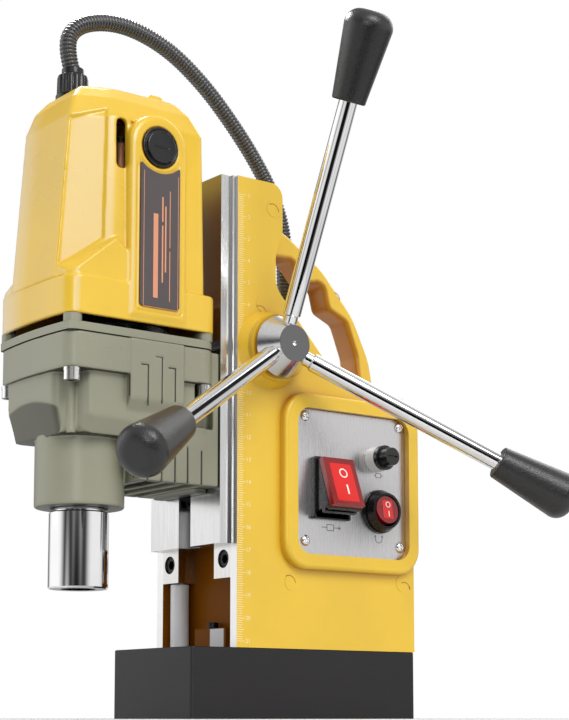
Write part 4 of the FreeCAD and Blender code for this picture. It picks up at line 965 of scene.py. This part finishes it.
def cap_field(x, y, z):
    """A brush cap: a thin rim, a raised disc and a straight slot."""
    reach = from_brush(y, z)
    rim = soft_max(reach - 11.3, inside_span(x, 40.4, 42.2), 0.5)
    disc = soft_max(reach - 9.2, inside_span(x, 40.6, CAP_FACE), 0.7)
    slot = rounded_box(x, y, z, (CAP_FACE - 0.5, BRUSH_SPOT[0] - 4.4, BRUSH_SPOT[1] - 0.6),
                       (CAP_FACE + 1, BRUSH_SPOT[0] + 4.4, BRUSH_SPOT[1] + 0.6), 0.2)
    ring = np.maximum(np.abs(reach - 9.6) - 0.3, 41.7 - x)
    return np.maximum(np.maximum(np.minimum(rim, disc), -slot), -ring)


def mirrored(mesh):
    """The same mesh on the other side of the object."""
    points, faces = mesh
    return [(-p[0], p[1], p[2]) for p in points], [tuple(face)[::-1] for face in faces]


cap_mesh = surface_net(cap_field, (40.1, -115.9, 300.1), (44.0, -92.1, 323.9), 0.3)
brush_caps = add_mesh("brush_caps_slotted", *joined(cap_mesh, mirrored(cap_mesh)), "carriage",
                      "black_plastic")
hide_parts("brush_caps")

GLAND_PROFILE = [(4.8, 348), (9.4, 348), (9.6, 348.4), (9.6, 350.6), (9.2, 351), (9.0, 351.4),
                 (9.0, 352), (8.8, 361), (8.3, 362.4), (6.8, 363.4), (6.4, 363.6), (6.3, 366.6),
                 (5.9, 367), (4.4, 367)]
gland = moved(turned_piece(GLAND_PROFILE, 14, 0.9, 112, (351.5, 362)), *GLAND_SPOT, 0)
upper_gland = add_mesh("upper_gland_ribbed", *gland, "carriage", "black_plastic")
upper_gland.data.set_sharp_from_angle(angle=math.radians(38))
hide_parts("upper_gland")

# ---------------------------------------------------------------- conduit
CONDUIT_ROUTE = [
    (-0.012, -0.1292, 0.365), (-0.012, -0.1345, 0.380), (-0.0125, -0.1275, 0.3935),
    (-0.0135, -0.108, 0.4015), (-0.0145, -0.086, 0.4025), (-0.0155, -0.060, 0.3955),
    (-0.016, -0.035, 0.3795), (-0.0167, -0.0145, 0.361), (-0.0175, 0.003, 0.3425),
    (-0.018, 0.018, 0.322), (-0.018, 0.027, 0.298), (-0.018, 0.0265, 0.265),
    (-0.018, 0.030, 0.236), (-0.018, 0.030, 0.209)]
CONDUIT_RADIUS = 0.0049
RIB_PITCH = 0.0021
RIB_DEPTH = 0.0009
RIB_STEPS = 8
SIDES = 28


def smooth_line(route):
    """Points read from the NURBS spline that a route controls."""
    curve = bpy.data.curves.new("route", "CURVE")
    curve.dimensions = "3D"
    curve.resolution_u = 40
    spline = curve.splines.new("NURBS")
    spline.points.add(len(route) - 1)
    for point, spot in zip(spline.points, route):
        point.co = (*spot, 1)
    spline.order_u = 3
    spline.use_endpoint_u = True
    holder = bpy.data.objects.new("route", curve)
    line = bpy.data.meshes.new_from_object(holder)
    points = np.array([v.co for v in line.vertices])
    bpy.data.objects.remove(holder)
    return points


def corrugated_tube(line):
    """Rings of a ribbed tube, square to a smooth line, in metres."""
    runs = np.linalg.norm(np.diff(line, axis=0), axis=1)
    reached = np.concatenate([[0], np.cumsum(runs)])
    count = int(reached[-1] / RIB_PITCH) * RIB_STEPS + 1
    stations = np.linspace(0, reached[-1], count)
    centres = np.stack([np.interp(stations, reached, line[:, n]) for n in range(3)], 1)
    forward = np.gradient(centres, axis=0)
    forward /= np.linalg.norm(forward, axis=1)[:, None]
    across = np.cross(forward, (1.0, 0.0, 0.0))
    across /= np.linalg.norm(across, axis=1)[:, None]
    upward = np.cross(forward, across)
    phase = np.arange(count) / RIB_STEPS
    radius = CONDUIT_RADIUS - RIB_DEPTH * (1 - np.abs(np.sin(np.pi * phase)) ** 0.5)
    turn = 2 * np.pi * np.arange(SIDES) / SIDES
    ring = (across[:, None] * np.cos(turn)[None, :, None]
            + upward[:, None] * np.sin(turn)[None, :, None])
    points = (centres[:, None] + ring * radius[:, None, None]).reshape(-1, 3)
    ends = [tuple(range(SIDES))[::-1], tuple((count - 1) * SIDES + b for b in range(SIDES))]
    return points, ring_faces(count, SIDES) + ends


conduit_line = smooth_line(CONDUIT_ROUTE)
conduit_points, conduit_faces = corrugated_tube(conduit_line)
conduit = add_mesh("conduit_ribbed", conduit_points / MM, conduit_faces, None, "conduit_black")
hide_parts("conduit")
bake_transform(conduit)


# ---------------------------------------------------------------- studio
def area_light(name, spot, target, size, power):
    """A white rectangular lamp that shines at a target."""
    data = bpy.data.lights.new(name, "AREA")
    data.shape = "RECTANGLE"
    data.size, data.size_y = size
    data.energy = power
    lamp = bpy.data.objects.new(name, data)
    scene.collection.objects.link(lamp)
    lamp.location = spot
    lamp.rotation_euler = (Vector(target) - Vector(spot)).to_track_quat("-Z", "Y").to_euler()
    return lamp


floor_material = new_material("floor", (0.70, 0.70, 0.70), 0.85)
speckle = noise(floor_material, 30.0, 4.0)
connect(floor_material, Base_Color=blend_colors(floor_material, speckle, (0.68, 0.68, 0.68),
                                                (0.72, 0.72, 0.72)))
FLOOR_RADIUS = 0.5
floor_mesh = bpy.data.meshes.new("floor")
rim_turns = [2 * math.pi * n / 96 for n in range(96)]
floor_mesh.from_pydata([(FLOOR_RADIUS * math.cos(t), FLOOR_RADIUS * math.sin(t), 0)
                        for t in rim_turns], [], [tuple(range(96))])
floor_mesh.materials.append(floor_material)
floor = bpy.data.objects.new("floor", floor_mesh)
scene.collection.objects.link(floor)

world = bpy.data.worlds.new("studio")
scene.world = world
world.use_nodes = True
AMBIENT = 0.07
# Patches of the surroundings: direction, outer and inner angle in degrees, brightness
SOFT_SIDES = [((-0.70, -0.71, 0.02), 52, 20, 1.35), ((0.78, 0.62, 0.02), 46, 14, 1.15),
              ((0.2, -0.3, 0.93), 58, 22, 0.9), ((-0.75, 0.65, 0.3), 40, 20, 0.4),
              ((0.72, -0.50, 0.48), 32, 16, 0.65), ((0.28, -0.94, -0.20), 20, 10, 1.0),
              ((0.87, 0.08, -0.48), 18, 8, 0.8), ((-0.05, 0.80, 0.60), 44, 26, 0.75)]
DARKENING = 0.97
DARK_SPOTS = [((0.795, -0.60, -0.09), 20, 8), ((0.605, -0.60, -0.52), 18, 8),
              ((0.87, -0.46, -0.20), 18, 8), ((0.07, 0.83, 0.56), 15, 7)]
heading = add_node(world, "ShaderNodeTexCoord").outputs["Generated"]


def glow(direction, outer, inner, power):
    """A soft patch of light in the surroundings: full inside one angle, none outside another."""
    nearness = add_node(world, "ShaderNodeVectorMath", {"operation": "DOT_PRODUCT"},
                        i0=heading, i1=direction).outputs["Value"]
    patch = add_node(world, "ShaderNodeMapRange", {"interpolation_type": "SMOOTHSTEP"},
                     i0=nearness, i1=math.cos(math.radians(outer)),
                     i2=math.cos(math.radians(inner)), i3=0.0, i4=power)
    return patch.outputs[0]


light_level = AMBIENT
for side in SOFT_SIDES:
    light_level = combine(world, light_level, glow(*side), "ADD")
for spot in DARK_SPOTS:
    light_level = combine(world, light_level, combine(world, 1.0, glow(*spot, DARKENING),
                                                      "SUBTRACT"))
tree = world.node_tree
backdrop = tree.nodes["Background"]
backdrop.inputs["Color"].default_value = (1.0, 1.0, 1.0, 1)
surroundings = add_node(world, "ShaderNodeBackground", Strength=light_level)
seen = add_node(world, "ShaderNodeLightPath").outputs["Is Camera Ray"]
mixed = add_node(world, "ShaderNodeMixShader", i0=seen, i1=surroundings.outputs[0],
                 i2=backdrop.outputs[0])
tree.links.new(mixed.outputs[0], tree.nodes["World Output"].inputs["Surface"])

middle = (0, -0.04, 0.2)
area_light("key", (1.7, -0.2, 1.5), middle, (1.0, 1.0), 22)
area_light("side", (-1.3, -1.5, 1.0), middle, (1.0, 1.4), 3)
area_light("rear", (-0.6, 1.7, 1.6), middle, (1.4, 1.0), 8)
area_light("gap", (-0.16, -0.075, 0.62), (0.0, -0.07, 0.28), (0.12, 0.12), 1.2)
front_fill = area_light("front_fill", (0.95, -0.85, 0.35), middle, (0.35, 0.35), 2.2)
# The front fill lights only the pieces that aren't bare metal
dull = bpy.data.collections.new("dull")
mirrors = [MATERIALS[slot] for slot in MIRRORS]
for item in scene.objects:
    if item.type == "MESH" and not any(slot.material in mirrors for slot in item.material_slots):
        dull.objects.link(item)
front_fill.light_linking.receiver_collection = dull
